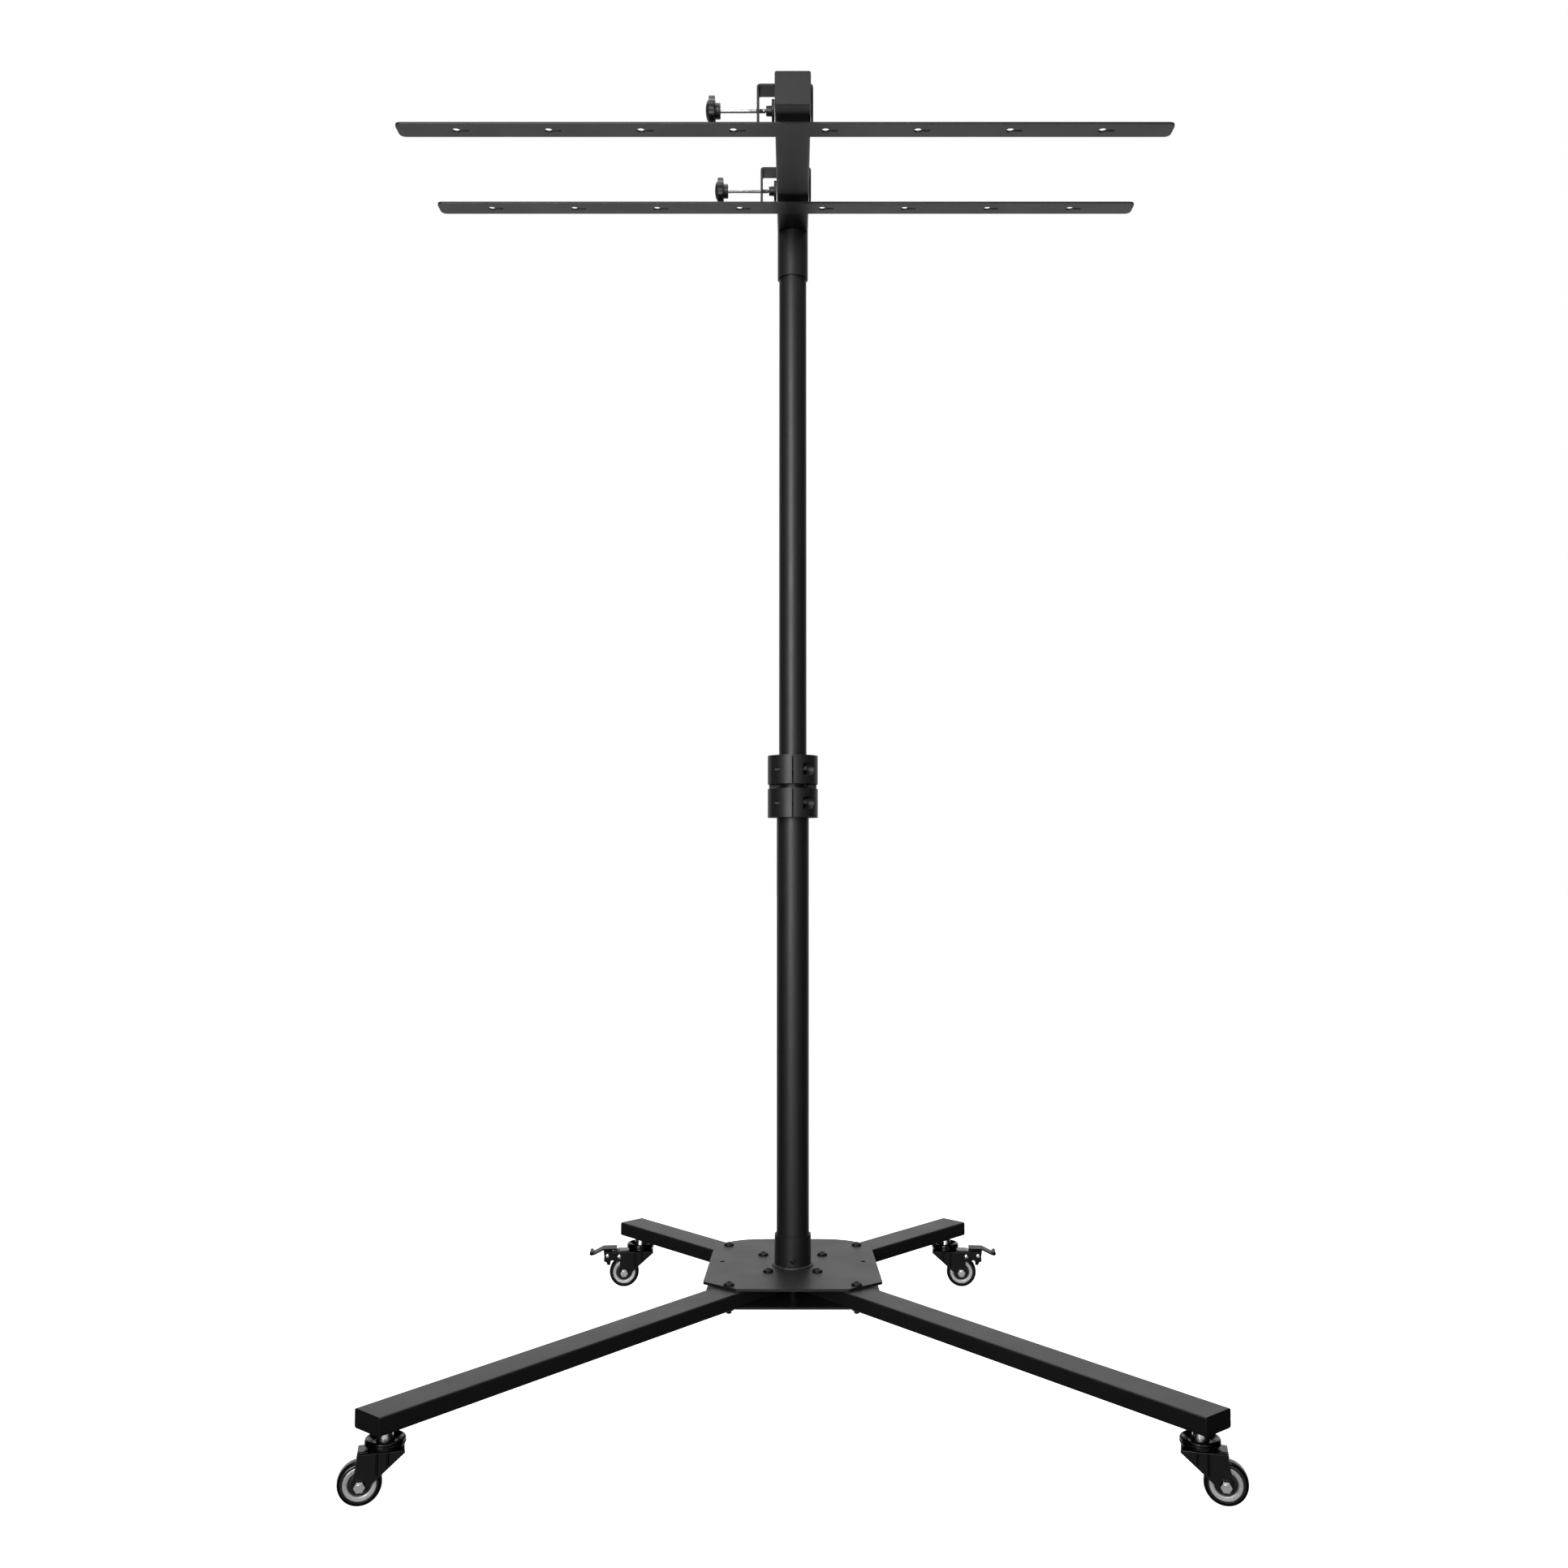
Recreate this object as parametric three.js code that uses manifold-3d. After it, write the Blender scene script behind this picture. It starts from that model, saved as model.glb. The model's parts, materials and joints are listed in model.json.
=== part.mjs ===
// Rolling light stand: a four-leg steel base on swivel casters carries a telescopic pole, and a square
// arm on top of the pole holds two crossbars with keyholes. Millimetres, +Z up. The floor is z = 0, the
// origin is the middle of the stand's footprint box, and the arm points to -Y.
import * as THREE from "three";
import { mergeVertices } from "three/addons/utils/BufferGeometryUtils.js";
import Module from "manifold-3d";

const wasm = await Module();
wasm.setup();

// ---- Driving dimensions ----

const GAP = 0.3; // air between pieces that touch on the real stand
const POLE_X = 10.17; // the pole axis in the frame of the footprint box
const POLE_Y = 145.56;

// Casters
const WHEEL_RADIUS = 25;
const TREAD_WIDTH = 18;
const CORE_RADIUS = 19;
const RING_INNER = 13;
const TRAIL = 27.5; // how far the axle stands from the swivel axis
const FORK_TOP = 62;
const FORK_SHEET = 2.2;
const FORK_WIDTH = 27;
const RACE_RADIUS = 23.2;
const RACE_TOP = 73;
const AXLE_RADIUS = 4;
const STEM_RADIUS = 4.9;
const STEM_LENGTH_IN_LEG = 15;

// Base
const LEG_BOTTOM = 84;
const LEG_WIDTH = 47.5;
const LEG_HEIGHT = 22;
const LEG_CORNER = 3;
const LEG_WALL = 2;
const LEG_START = 32; // the legs begin this far from the pole axis
const STEM_INSET = 25; // from the leg's end to its caster stem
const FRONT_LEG = { reach: 758, angle: 39.2, heading: 15 };
const REAR_LEG = { reach: 406, angle: 43.4, heading: 5 };
const TOP_PLATE = 4;
const BOTTOM_PLATE = 3;
const PLATE_CORNER = 2;
const PLATE_REAR_CORNER = 80;
const PLATE_CORNER_STEPS = 10;
const BOLT_RADIUS = 3.9;
const BOLT_HEAD_RADIUS = 8;
const BOLT_HEAD_HEIGHT = 4.6;
const NUT_ACROSS = 13;
const NUT_HEIGHT = 6.5;
const HOLE_CLEARANCE = 0.5; // radial, in every bolt hole
const PLATE_OUTLINE = [
  [124, 152.2, PLATE_REAR_CORNER],
  [131.8, -90.3],
  [82, -127.6],
]; // the right half, rear to front, with a corner of its own where the plate is well rounded
const BOLTS = {
  front_outer: [93, -108],
  front_inner: [37, -38],
  rear_outer: [102.5, 113],
  rear_inner: [46, 55],
}; // on the right side, from the pole axis
const SPARE_HOLE = { x: 108.5, y: 17.3, radius: 4 };

// Pole
const SOCKET_RADIUS = 27.9;
const SOCKET_RIM = 157.5;
const WELD_WIDTH = 5;
const WELD_HEIGHT = 8;
const SET_SCREW = { radius: 3.8, z: 122.2 };
const LOWER_TUBE = { radius: 25, wall: 1.8, top: 841 };
const UPPER_TUBE = { radius: 21.5, wall: 1.8, bottom: 560, top: 1720 };
const BUSH_LENGTH = 46;
const FOOT_LENGTH = 30;

// Height clamp: two rings in one casting, split in front
const CLAMP_RADIUS = 39.1;
const CLAMP_BOTTOM = 794.2;
const CLAMP_TOP = 890.4;
const CLAMP_SLIT_BOTTOM = 838.8;
const CLAMP_SLIT_TOP = 846;
const CLAMP_SLIT_BACK = 12; // the slit stops this far behind the axis and leaves a web
const CLAMP_SPLIT = 2.4;
const CLAMP_SCREW_Y = -31;
const CLAMP_SCREW_RADIUS = 3;
const CLAMP_HEAD_RADIUS = 5;
const CLAMP_POCKET_X = 15.8;
const CLAMP_POCKET_RADIUS = 9.8;

// Head
const SLEEVE_RADIUS = 24;
const SLEEVE_BOTTOM = 1649;
const ARM_BOTTOM = 1723;
const ARM_WIDTH = 48;
const ARM_HEIGHT = 45;
const ARM_WALL = 2.5;
const ARM_CORNER = 3;
const ARM_FRONT = -396.5;
const ARM_BACK = 30;
const CAP_FACE = 2.5;
const CAP_PLUG = 12;

// Crossbars and their brackets
const BAR_LENGTH = 1050;
const BAR_WIDTH = 35;
const BAR_THICKNESS = 3;
const BAR_BOTTOM = 1714;
const BAR_CORNER = 8;
const UPPER_BAR_Y = -344.5;
const LOWER_BAR_Y = -110.5;
const KEYHOLES = { count: 8, pitch: 125, shift: -7.6, radius: 5.5, slot: 2.45, slotEnd: 17.2 };
const STRAP_WIDTH = 30;
const STRAP_SHEET = 3;
const STRAP_INNER = 70;
const STRAP_CORNER = 5;
const STRAP_X = -(STRAP_INNER - ARM_WIDTH) / 2 + 0.5; // its right leg lies against the arm
const SCREW_Z = 1741;
const SCREW_RADIUS = 3.25;
const PAD_RADIUS = 15;
const KNOB_RADIUS = 19.5;
const KNOB_LOBES = 7;
const KNOB_LOBE_DEPTH = 1.5;

// Worked out from the above
const LEG_TOP = LEG_BOTTOM + LEG_HEIGHT;
const PLATE_BOTTOM = LEG_TOP + 0.2;
const PLATE_TOP = PLATE_BOTTOM + TOP_PLATE;
const LOWER_PLATE_TOP = LEG_BOTTOM - 0.2;
const LOWER_PLATE_BOTTOM = LOWER_PLATE_TOP - BOTTOM_PLATE;
const ARM_TOP = ARM_BOTTOM + ARM_HEIGHT;
const BAR_TOP = BAR_BOTTOM + BAR_THICKNESS;
const DEGREE = Math.PI / 180;

// Sides of the round pieces, by size
const TUBE_SIDES = 28;
const WHEEL_SIDES = 24;
const KNOB_SIDES = 16;
const HOLE_SIDES = 8;
const SCREW_SIDES = 10;

// ---- Finishes ----

const finish = (color, roughness, metalness) =>
  new THREE.MeshStandardMaterial({ color, roughness, metalness });
const POWDER = finish(0x2b2b2c, 0.62, 0.2);
const GLOSS = finish(0x0b0b0c, 0.25, 0.3);
const ZINC = finish(0xb9bcc0, 0.32, 0.9);
const DARK_STEEL = finish(0x2f3032, 0.4, 0.8);
const PLASTIC = finish(0x151516, 0.5, 0);
const TREAD = finish(0x1a1a1b, 0.45, 0);

// ---- Solids from geometries ----

function solidOf(geometry) {
  const bare = new THREE.BufferGeometry().setAttribute("position", geometry.attributes.position);
  bare.setIndex(geometry.index);
  const merged = mergeVertices(bare, 1e-3);
  const corners = merged.index.array;
  const kept = [];
  for (let i = 0; i < corners.length; i += 3) {
    const [a, b, c] = corners.subarray(i, i + 3);
    if (a !== b && b !== c && c !== a) kept.push(a, b, c);
  }
  const vertProperties = merged.attributes.position.array;
  return new wasm.Manifold(new wasm.Mesh({ numProp: 3, vertProperties, triVerts: new Uint32Array(kept) }));
}

function geometryOf(solid) {
  const mesh = solid.getMesh();
  const geometry = new THREE.BufferGeometry();
  geometry.setAttribute("position", new THREE.BufferAttribute(mesh.vertProperties, 3));
  return geometry.setIndex(new THREE.BufferAttribute(mesh.triVerts, 1));
}

const join = (...parts) => geometryOf(parts.map(solidOf).reduce((whole, part) => whole.add(part)));
const cut = (body, ...tools) =>
  geometryOf(tools.map(solidOf).reduce((left, tool) => left.subtract(tool), solidOf(body)));

// ---- Plain shapes ----

// A box from its low corner to its high corner.
function block([x0, y0, z0], [x1, y1, z1]) {
  const box = new THREE.BoxGeometry(x1 - x0, y1 - y0, z1 - z0);
  return box.translate((x0 + x1) / 2, (y0 + y1) / 2, (z0 + z1) / 2);
}

// A solid of revolution about Z from [radius, z] points, which run anticlockwise and close on themselves.
function turned(points, sides = TUBE_SIDES) {
  const ring = [...points, points[0]].map(([r, z]) => new THREE.Vector2(r, z));
  return new THREE.LatheGeometry(ring, sides).rotateX(Math.PI / 2);
}

// A rod or a prism along Z.
const rod = (radius, z0, z1, sides = SCREW_SIDES) =>
  new THREE.CylinderGeometry(radius, radius, z1 - z0, sides)
    .rotateX(Math.PI / 2)
    .translate(0, 0, (z0 + z1) / 2);

const pipe = (outer, inner, z0, z1) => turned([[inner, z0], [outer, z0], [outer, z1], [inner, z1]]);

const hexagon = (across, z0, z1) => rod(across / Math.sqrt(3), z0, z1, 6);

// A closed outline with each corner rounded to its radius.
function rounded(points, radius) {
  const shape = new THREE.Shape();
  const corners = points.map(([x, y]) => new THREE.Vector2(x, y));
  corners.forEach((corner, i) => {
    const before = corners[(i + corners.length - 1) % corners.length];
    const after = corners[(i + 1) % corners.length];
    const reach = points[i][2] ?? radius;
    const from = corner.clone().lerp(before, reach / corner.distanceTo(before));
    const to = corner.clone().lerp(after, reach / corner.distanceTo(after));
    if (i === 0) shape.moveTo(from.x, from.y);
    else shape.lineTo(from.x, from.y);
    shape.quadraticCurveTo(corner.x, corner.y, to.x, to.y);
  });
  shape.closePath();
  return shape;
}

function rectangle(width, height, radius) {
  const [x, y] = [width / 2, height / 2];
  return rounded([[-x, -y], [x, -y], [x, y], [-x, y]], radius);
}

const extrude = (shape, depth, curveSegments = 4) =>
  new THREE.ExtrudeGeometry(shape, { depth, bevelEnabled: false, curveSegments });

// Turns a shape drawn in (x, z) and extruded from y = 0 to y = depth the right way up.
const upright = (geometry, y0, depth) => geometry.rotateX(Math.PI / 2).translate(0, y0 + depth, 0);

// ---- The scene graph ----

const stand = new THREE.Group();
stand.position.set(POLE_X, POLE_Y, 0);

function add(name, geometry, material, parent = stand) {
  const mesh = new THREE.Mesh(geometry, material);
  mesh.name = name;
  parent.add(mesh);
  return mesh;
}

const SIDES = { left: -1, right: 1 };

// ---- Base: legs, plates and bolts ----

// A leg's direction about Z from +X.
function legAngle(side, end) {
  const spread = end === "front" ? FRONT_LEG.angle - 90 : 90 - REAR_LEG.angle;
  return (side > 0 ? spread : 180 - spread) * DEGREE;
}

function inLegFrame([x, y], angle) {
  return [x * Math.cos(angle) + y * Math.sin(angle), y * Math.cos(angle) - x * Math.sin(angle)];
}

// A rectangular tube along +X, closed at its outer end by a welded plate.
function leg(side, end) {
  const { reach } = end === "front" ? FRONT_LEG : REAR_LEG;
  const angle = legAngle(side, end);
  const along = (geometry, x0) =>
    geometry.rotateY(Math.PI / 2).translate(x0, 0, LEG_BOTTOM + LEG_HEIGHT / 2);
  const outer = along(extrude(rectangle(LEG_HEIGHT, LEG_WIDTH, LEG_CORNER), reach - LEG_START), LEG_START);
  const bore = rectangle(LEG_HEIGHT - 2 * LEG_WALL, LEG_WIDTH - 2 * LEG_WALL, 1);
  const hollow = along(extrude(bore, reach - LEG_START, 1), LEG_START - LEG_WALL - 1);
  const holes = Object.entries(BOLTS)
    .filter(([place]) => place.startsWith(end))
    .map(([, [x, y]]) => {
      const [u, v] = inLegFrame([side * x, y], angle);
      return rod(BOLT_RADIUS + HOLE_CLEARANCE, LEG_BOTTOM - 5, LEG_TOP + 5, HOLE_SIDES).translate(u, v, 0);
    });
  const holeTop = LEG_BOTTOM + LEG_HEIGHT / 2;
  const stemHole = rod(STEM_RADIUS + HOLE_CLEARANCE, LEG_BOTTOM - 5, holeTop, HOLE_SIDES);
  return cut(outer, hollow, ...holes, stemHole.translate(reach - STEM_INSET, 0, 0));
}

for (const [sideName, side] of Object.entries(SIDES))
  for (const end of ["front", "rear"]) {
    const mesh = add(`leg_${end}_${sideName}`, leg(side, end), POWDER);
    mesh.rotation.z = legAngle(side, end);
  }

const boltPlaces = Object.entries(SIDES).flatMap(([sideName, side]) =>
  Object.entries(BOLTS).map(([place, [x, y]]) => ({ name: `leg_bolt_${place}_${sideName}`, x: side * x, y })),
);

function basePlate(z0, thickness) {
  const left = PLATE_OUTLINE.map(([x, ...rest]) => [-x, ...rest]);
  const outline = rounded([...left, ...PLATE_OUTLINE.toReversed()], PLATE_CORNER);
  const holes = boltPlaces.map(({ x, y }) =>
    rod(BOLT_RADIUS + HOLE_CLEARANCE, z0 - 1, z0 + thickness + 1, HOLE_SIDES).translate(x, y, 0),
  );
  const spares = Object.values(SIDES).map((side) =>
    rod(SPARE_HOLE.radius, z0 - 1, z0 + thickness + 1).translate(side * SPARE_HOLE.x, SPARE_HOLE.y, 0),
  );
  return cut(extrude(outline, thickness, PLATE_CORNER_STEPS).translate(0, 0, z0), ...holes, ...spares);
}

add("base_plate_top", basePlate(PLATE_BOTTOM, TOP_PLATE), POWDER);
add("base_plate_bottom", basePlate(LOWER_PLATE_BOTTOM, BOTTOM_PLATE), POWDER);

// A domed cross-recess bolt through both plates and the leg, with its nut run up underneath.
function legBolt() {
  const seat = PLATE_TOP + GAP;
  const nutTop = LOWER_PLATE_BOTTOM - GAP;
  const end = nutTop - NUT_HEIGHT - 4;
  const dome = turned(
    [
      [0, end],
      [BOLT_RADIUS, end],
      [BOLT_RADIUS, seat],
      [BOLT_HEAD_RADIUS, seat],
      [BOLT_HEAD_RADIUS - 0.8, seat + 2],
      [BOLT_HEAD_RADIUS - 3.6, seat + BOLT_HEAD_HEIGHT - 0.5],
      [0, seat + BOLT_HEAD_HEIGHT],
    ],
    SCREW_SIDES,
  );
  const recess = (angle) =>
    block([-4, -0.8, seat + BOLT_HEAD_HEIGHT - 2], [4, 0.8, seat + BOLT_HEAD_HEIGHT + 1]).rotateZ(angle);
  const body = join(dome, hexagon(NUT_ACROSS, nutTop - NUT_HEIGHT, nutTop));
  return cut(body, recess(0), recess(Math.PI / 2));
}

boltPlaces.forEach(({ name, x, y }, i) => {
  const mesh = add(name, legBolt(), POWDER);
  mesh.position.set(x, y, 0);
  mesh.rotation.z = i * 37 * DEGREE;
});

// ---- Pole: socket, tubes, bushes and height clamp ----

function poleSocket() {
  const inner = LOWER_TUBE.radius + GAP;
  const floor = PLATE_TOP + GAP;
  const body = turned(
    [
      [inner, floor],
      [SOCKET_RADIUS + WELD_WIDTH, floor],
      [SOCKET_RADIUS + WELD_WIDTH - 1.5, floor + WELD_HEIGHT - 3.5],
      [SOCKET_RADIUS, floor + WELD_HEIGHT],
      [SOCKET_RADIUS, SOCKET_RIM],
      [inner, SOCKET_RIM],
    ],
    TUBE_SIDES,
  );
  const thread = rod(SET_SCREW.radius + GAP, 20, 40).rotateX(Math.PI / 2).translate(0, 0, SET_SCREW.z);
  return cut(body, thread);
}

function setScrew() {
  const body = rod(SET_SCREW.radius, LOWER_TUBE.radius + GAP, SOCKET_RADIUS + 0.4);
  const socket = hexagon(4, SOCKET_RADIUS - 1.2, SOCKET_RADIUS + 2);
  return cut(body, socket).rotateX(Math.PI / 2).translate(0, 0, SET_SCREW.z);
}

add("pole_socket", poleSocket(), POWDER);
add("socket_set_screw", setScrew(), DARK_STEEL);

const lowerBore = LOWER_TUBE.radius - LOWER_TUBE.wall;
add("lower_tube", pipe(LOWER_TUBE.radius, lowerBore, PLATE_TOP + GAP, LOWER_TUBE.top), POWDER);
const upperBore = UPPER_TUBE.radius - UPPER_TUBE.wall;
add("upper_tube", pipe(UPPER_TUBE.radius, upperBore, UPPER_TUBE.bottom, UPPER_TUBE.top), POWDER);
const bushTop = LOWER_TUBE.top - 0.5;
add("guide_bush", pipe(lowerBore - GAP, UPPER_TUBE.radius + GAP, bushTop - BUSH_LENGTH, bushTop), PLASTIC);

// The plug that keeps the bottom of the upper tube centred in the lower one.
function slideFoot() {
  const top = UPPER_TUBE.bottom - GAP;
  return turned(
    [
      [15, top - FOOT_LENGTH],
      [lowerBore - 0.4, top - FOOT_LENGTH],
      [lowerBore - 0.4, top],
      [upperBore - GAP, top],
      [upperBore - GAP, top + 12],
      [15, top + 12],
    ],
    TUBE_SIDES,
  );
}
add("slide_foot", slideFoot(), PLASTIC);

// One casting: the lower ring grips the lower tube and the upper ring grips the upper tube. The slit between
// the rings leaves a web at the back, and one split at the front runs down through both.
function heightClamp() {
  const edge = 1.5;
  const body = turned(
    [
      [LOWER_TUBE.radius + GAP, CLAMP_BOTTOM],
      [CLAMP_RADIUS - edge, CLAMP_BOTTOM],
      [CLAMP_RADIUS, CLAMP_BOTTOM + edge],
      [CLAMP_RADIUS, CLAMP_TOP - edge],
      [CLAMP_RADIUS - edge, CLAMP_TOP],
      [UPPER_TUBE.radius + GAP, CLAMP_TOP],
      [UPPER_TUBE.radius + GAP, CLAMP_SLIT_TOP - 3],
      [LOWER_TUBE.radius + GAP, CLAMP_SLIT_TOP - 3],
    ],
    TUBE_SIDES,
  );
  const far = CLAMP_RADIUS + 5;
  const slit = block([-far, -far, CLAMP_SLIT_BOTTOM], [far, CLAMP_SLIT_BACK, CLAMP_SLIT_TOP]);
  const split = block([-CLAMP_SPLIT / 2, -far, CLAMP_BOTTOM - 5], [CLAMP_SPLIT / 2, 0, CLAMP_TOP + 5]);
  const screwHoles = clampScrewHeights.flatMap((z) => [
    rod(CLAMP_SCREW_RADIUS + GAP, -40, 20, HOLE_SIDES).rotateY(Math.PI / 2).translate(0, CLAMP_SCREW_Y, z),
    rod(CLAMP_POCKET_RADIUS, CLAMP_POCKET_X, 40).rotateY(Math.PI / 2).translate(0, CLAMP_SCREW_Y, z),
  ]);
  return cut(body, slit, split, ...screwHoles);
}

const clampScrewHeights = [(CLAMP_BOTTOM + CLAMP_SLIT_BOTTOM) / 2, (CLAMP_SLIT_TOP + CLAMP_TOP) / 2];
add("height_clamp", heightClamp(), POWDER);

function clampScrew(z) {
  const head = rod(CLAMP_HEAD_RADIUS, CLAMP_POCKET_X + GAP, CLAMP_POCKET_X + 6);
  const shank = rod(CLAMP_SCREW_RADIUS, -21, CLAMP_POCKET_X + 1);
  const socket = hexagon(5, CLAMP_POCKET_X + 3, CLAMP_POCKET_X + 8);
  return cut(join(head, shank), socket).rotateY(Math.PI / 2).translate(0, CLAMP_SCREW_Y, z);
}

["lower", "upper"].forEach((ring, i) => add(`clamp_screw_${ring}`, clampScrew(clampScrewHeights[i]), ZINC));

// ---- Head: sleeve, arm and end cap ----

add("head_sleeve", pipe(SLEEVE_RADIUS, UPPER_TUBE.radius + GAP, SLEEVE_BOTTOM, ARM_BOTTOM - GAP), POWDER);

const armMiddle = ARM_BOTTOM + ARM_HEIGHT / 2;

function armTube() {
  const front = ARM_FRONT + CAP_FACE + GAP;
  const section = (inset, radius) => rectangle(ARM_WIDTH - 2 * inset, ARM_HEIGHT - 2 * inset, radius);
  const outer = upright(extrude(section(0, ARM_CORNER), ARM_BACK - front), front, ARM_BACK - front);
  const depth = ARM_BACK - front;
  const bore = upright(extrude(section(ARM_WALL, 1), depth, 1), front - ARM_WALL, depth);
  return cut(outer, bore).translate(0, 0, armMiddle);
}

function armCap() {
  const face = upright(extrude(rectangle(ARM_WIDTH, ARM_HEIGHT, ARM_CORNER), CAP_FACE), ARM_FRONT, CAP_FACE);
  const inset = ARM_WALL + 2 * GAP;
  const [x, z] = [ARM_WIDTH / 2 - inset, ARM_HEIGHT / 2 - inset];
  const start = ARM_FRONT + CAP_FACE - 1;
  const plug = block([-x, start, -z], [x, ARM_FRONT + CAP_PLUG, z]);
  return join(face, plug).translate(0, 0, armMiddle);
}

add("arm", armTube(), POWDER);
add("arm_end_cap", armCap(), POWDER);

// ---- Crossbars, brackets and clamp screws ----

function crossbar() {
  const outline = rectangle(BAR_LENGTH, BAR_WIDTH, BAR_CORNER);
  for (let i = 0; i < KEYHOLES.count; i++) {
    const x = (i - (KEYHOLES.count - 1) / 2) * KEYHOLES.pitch + KEYHOLES.shift;
    outline.holes.push(keyhole(x));
  }
  return extrude(outline, BAR_THICKNESS, 4).translate(STRAP_X, 0, BAR_BOTTOM);
}

// A round hole with a slot that runs out of it to +X.
function keyhole(x) {
  const { radius, slot, slotEnd } = KEYHOLES;
  const meet = Math.asin(slot / radius);
  const path = new THREE.Path();
  path.absarc(x, 0, radius, meet, 2 * Math.PI - meet, false);
  path.lineTo(x + slotEnd - slot, -slot);
  path.absarc(x + slotEnd - slot, 0, slot, -Math.PI / 2, Math.PI / 2, false);
  path.closePath();
  return path;
}

// An inverted U of flat bar over the arm; its feet are welded to the crossbar.
function strap() {
  const outer = STRAP_INNER / 2 + STRAP_SHEET;
  const inner = STRAP_INNER / 2;
  const foot = BAR_TOP + GAP;
  const web = ARM_TOP + 0.5;
  const shape = new THREE.Shape();
  shape.moveTo(-outer, foot);
  shape.lineTo(-inner, foot);
  shape.lineTo(-inner, web - 2);
  shape.quadraticCurveTo(-inner, web, -inner + 2, web);
  shape.lineTo(inner - 2, web);
  shape.quadraticCurveTo(inner, web, inner, web - 2);
  shape.lineTo(inner, foot);
  shape.lineTo(outer, foot);
  shape.lineTo(outer, web + STRAP_SHEET - STRAP_CORNER);
  shape.quadraticCurveTo(outer, web + STRAP_SHEET, outer - STRAP_CORNER, web + STRAP_SHEET);
  shape.lineTo(-outer + STRAP_CORNER, web + STRAP_SHEET);
  shape.quadraticCurveTo(-outer, web + STRAP_SHEET, -outer, web + STRAP_SHEET - STRAP_CORNER);
  shape.closePath();
  const body = upright(extrude(shape, STRAP_WIDTH), -STRAP_WIDTH / 2, STRAP_WIDTH);
  const thread = rod(SCREW_RADIUS + GAP, -outer - 5, -inner + 5)
    .rotateY(Math.PI / 2)
    .translate(0, 0, SCREW_Z);
  return cut(body, thread).translate(STRAP_X, 0, 0);
}

// Places along the clamp screw, measured from the middle of the strap towards the arm.
const ARM_SIDE = -ARM_WIDTH / 2 - STRAP_X;
const PAD_FACE = ARM_SIDE - 0.8;
const PAD_BACK = PAD_FACE - 3.6;
const BOSS_BACK = PAD_BACK - 7.7;
const SCREW_END = BOSS_BACK + 4;
const KNOB_FRONT = -87.5;
const LOBES_FRONT = -94.5;
const LOBES_BACK = -103;
const KNOB_BACK = -107.5;
const SCREW_START = -99;

const alongScrew = (geometry) => geometry.rotateY(Math.PI / 2).translate(STRAP_X, 0, SCREW_Z);

function screwRod() {
  const neck = 2;
  return alongScrew(
    turned(
      [
        [0, SCREW_START],
        [SCREW_RADIUS, SCREW_START],
        [SCREW_RADIUS, BOSS_BACK - 0.6],
        [neck, BOSS_BACK - 0.6],
        [neck, SCREW_END],
        [0, SCREW_END],
      ],
      SCREW_SIDES,
    ),
  );
}

function swivelPad() {
  const bore = 2 + GAP;
  return alongScrew(
    turned(
      [
        [0, SCREW_END + GAP],
        [bore, SCREW_END + GAP],
        [bore, BOSS_BACK],
        [6.5, BOSS_BACK],
        [7, PAD_BACK],
        [PAD_RADIUS, PAD_BACK],
        [PAD_RADIUS, PAD_FACE],
        [0, PAD_FACE],
      ],
      KNOB_SIDES,
    ),
  );
}

function starKnob() {
  const star = new THREE.Shape();
  const steps = KNOB_LOBES * 6;
  for (let i = 0; i < steps; i++) {
    const angle = (i / steps) * 2 * Math.PI;
    const r = KNOB_RADIUS - KNOB_LOBE_DEPTH * (1 - Math.cos(angle * KNOB_LOBES));
    if (i === 0) star.moveTo(r, 0);
    else star.lineTo(r * Math.cos(angle), r * Math.sin(angle));
  }
  star.closePath();
  const lobes = extrude(star, LOBES_FRONT - LOBES_BACK).translate(0, 0, LOBES_BACK);
  const core = turned(
    [
      [0, KNOB_BACK],
      [6, KNOB_BACK + 0.5],
      [12, LOBES_BACK + 1.5],
      [12, LOBES_FRONT - 1],
      [10.5, LOBES_FRONT],
      [10.5, KNOB_FRONT],
      [0, KNOB_FRONT],
    ],
    KNOB_SIDES,
  );
  const bore = rod(SCREW_RADIUS + GAP, SCREW_START - GAP, KNOB_FRONT + 1);
  return alongScrew(cut(join(lobes, core), bore));
}

for (const [name, y] of [["upper", UPPER_BAR_Y], ["lower", LOWER_BAR_Y]]) {
  const bracket = new THREE.Group();
  bracket.position.y = y;
  stand.add(bracket);
  add(`${name}_crossbar`, crossbar(), POWDER, bracket);
  add(`${name}_strap`, strap(), POWDER, bracket);
  add(`${name}_clamp_screw`, screwRod(), ZINC, bracket);
  add(`${name}_swivel_pad`, swivelPad(), PLASTIC, bracket);
  add(`${name}_star_knob`, starKnob(), PLASTIC, bracket);
}

// ---- Casters, each in a frame with its swivel axis on Z and its wheel out to +X ----

const cheekInner = FORK_WIDTH / 2 - FORK_SHEET;
const PEDAL_PIVOT = { x: 55.9, z: 53.4 };
const BRAKE_RIVET = { x: 35.8, z: 52 };
const PIN_RADIUS = 2.2;
const PIN_HEAD_RADIUS = 4.2;

const acrossFork = (geometry, x, z) => geometry.rotateX(Math.PI / 2).translate(x, 0, z);

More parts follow.
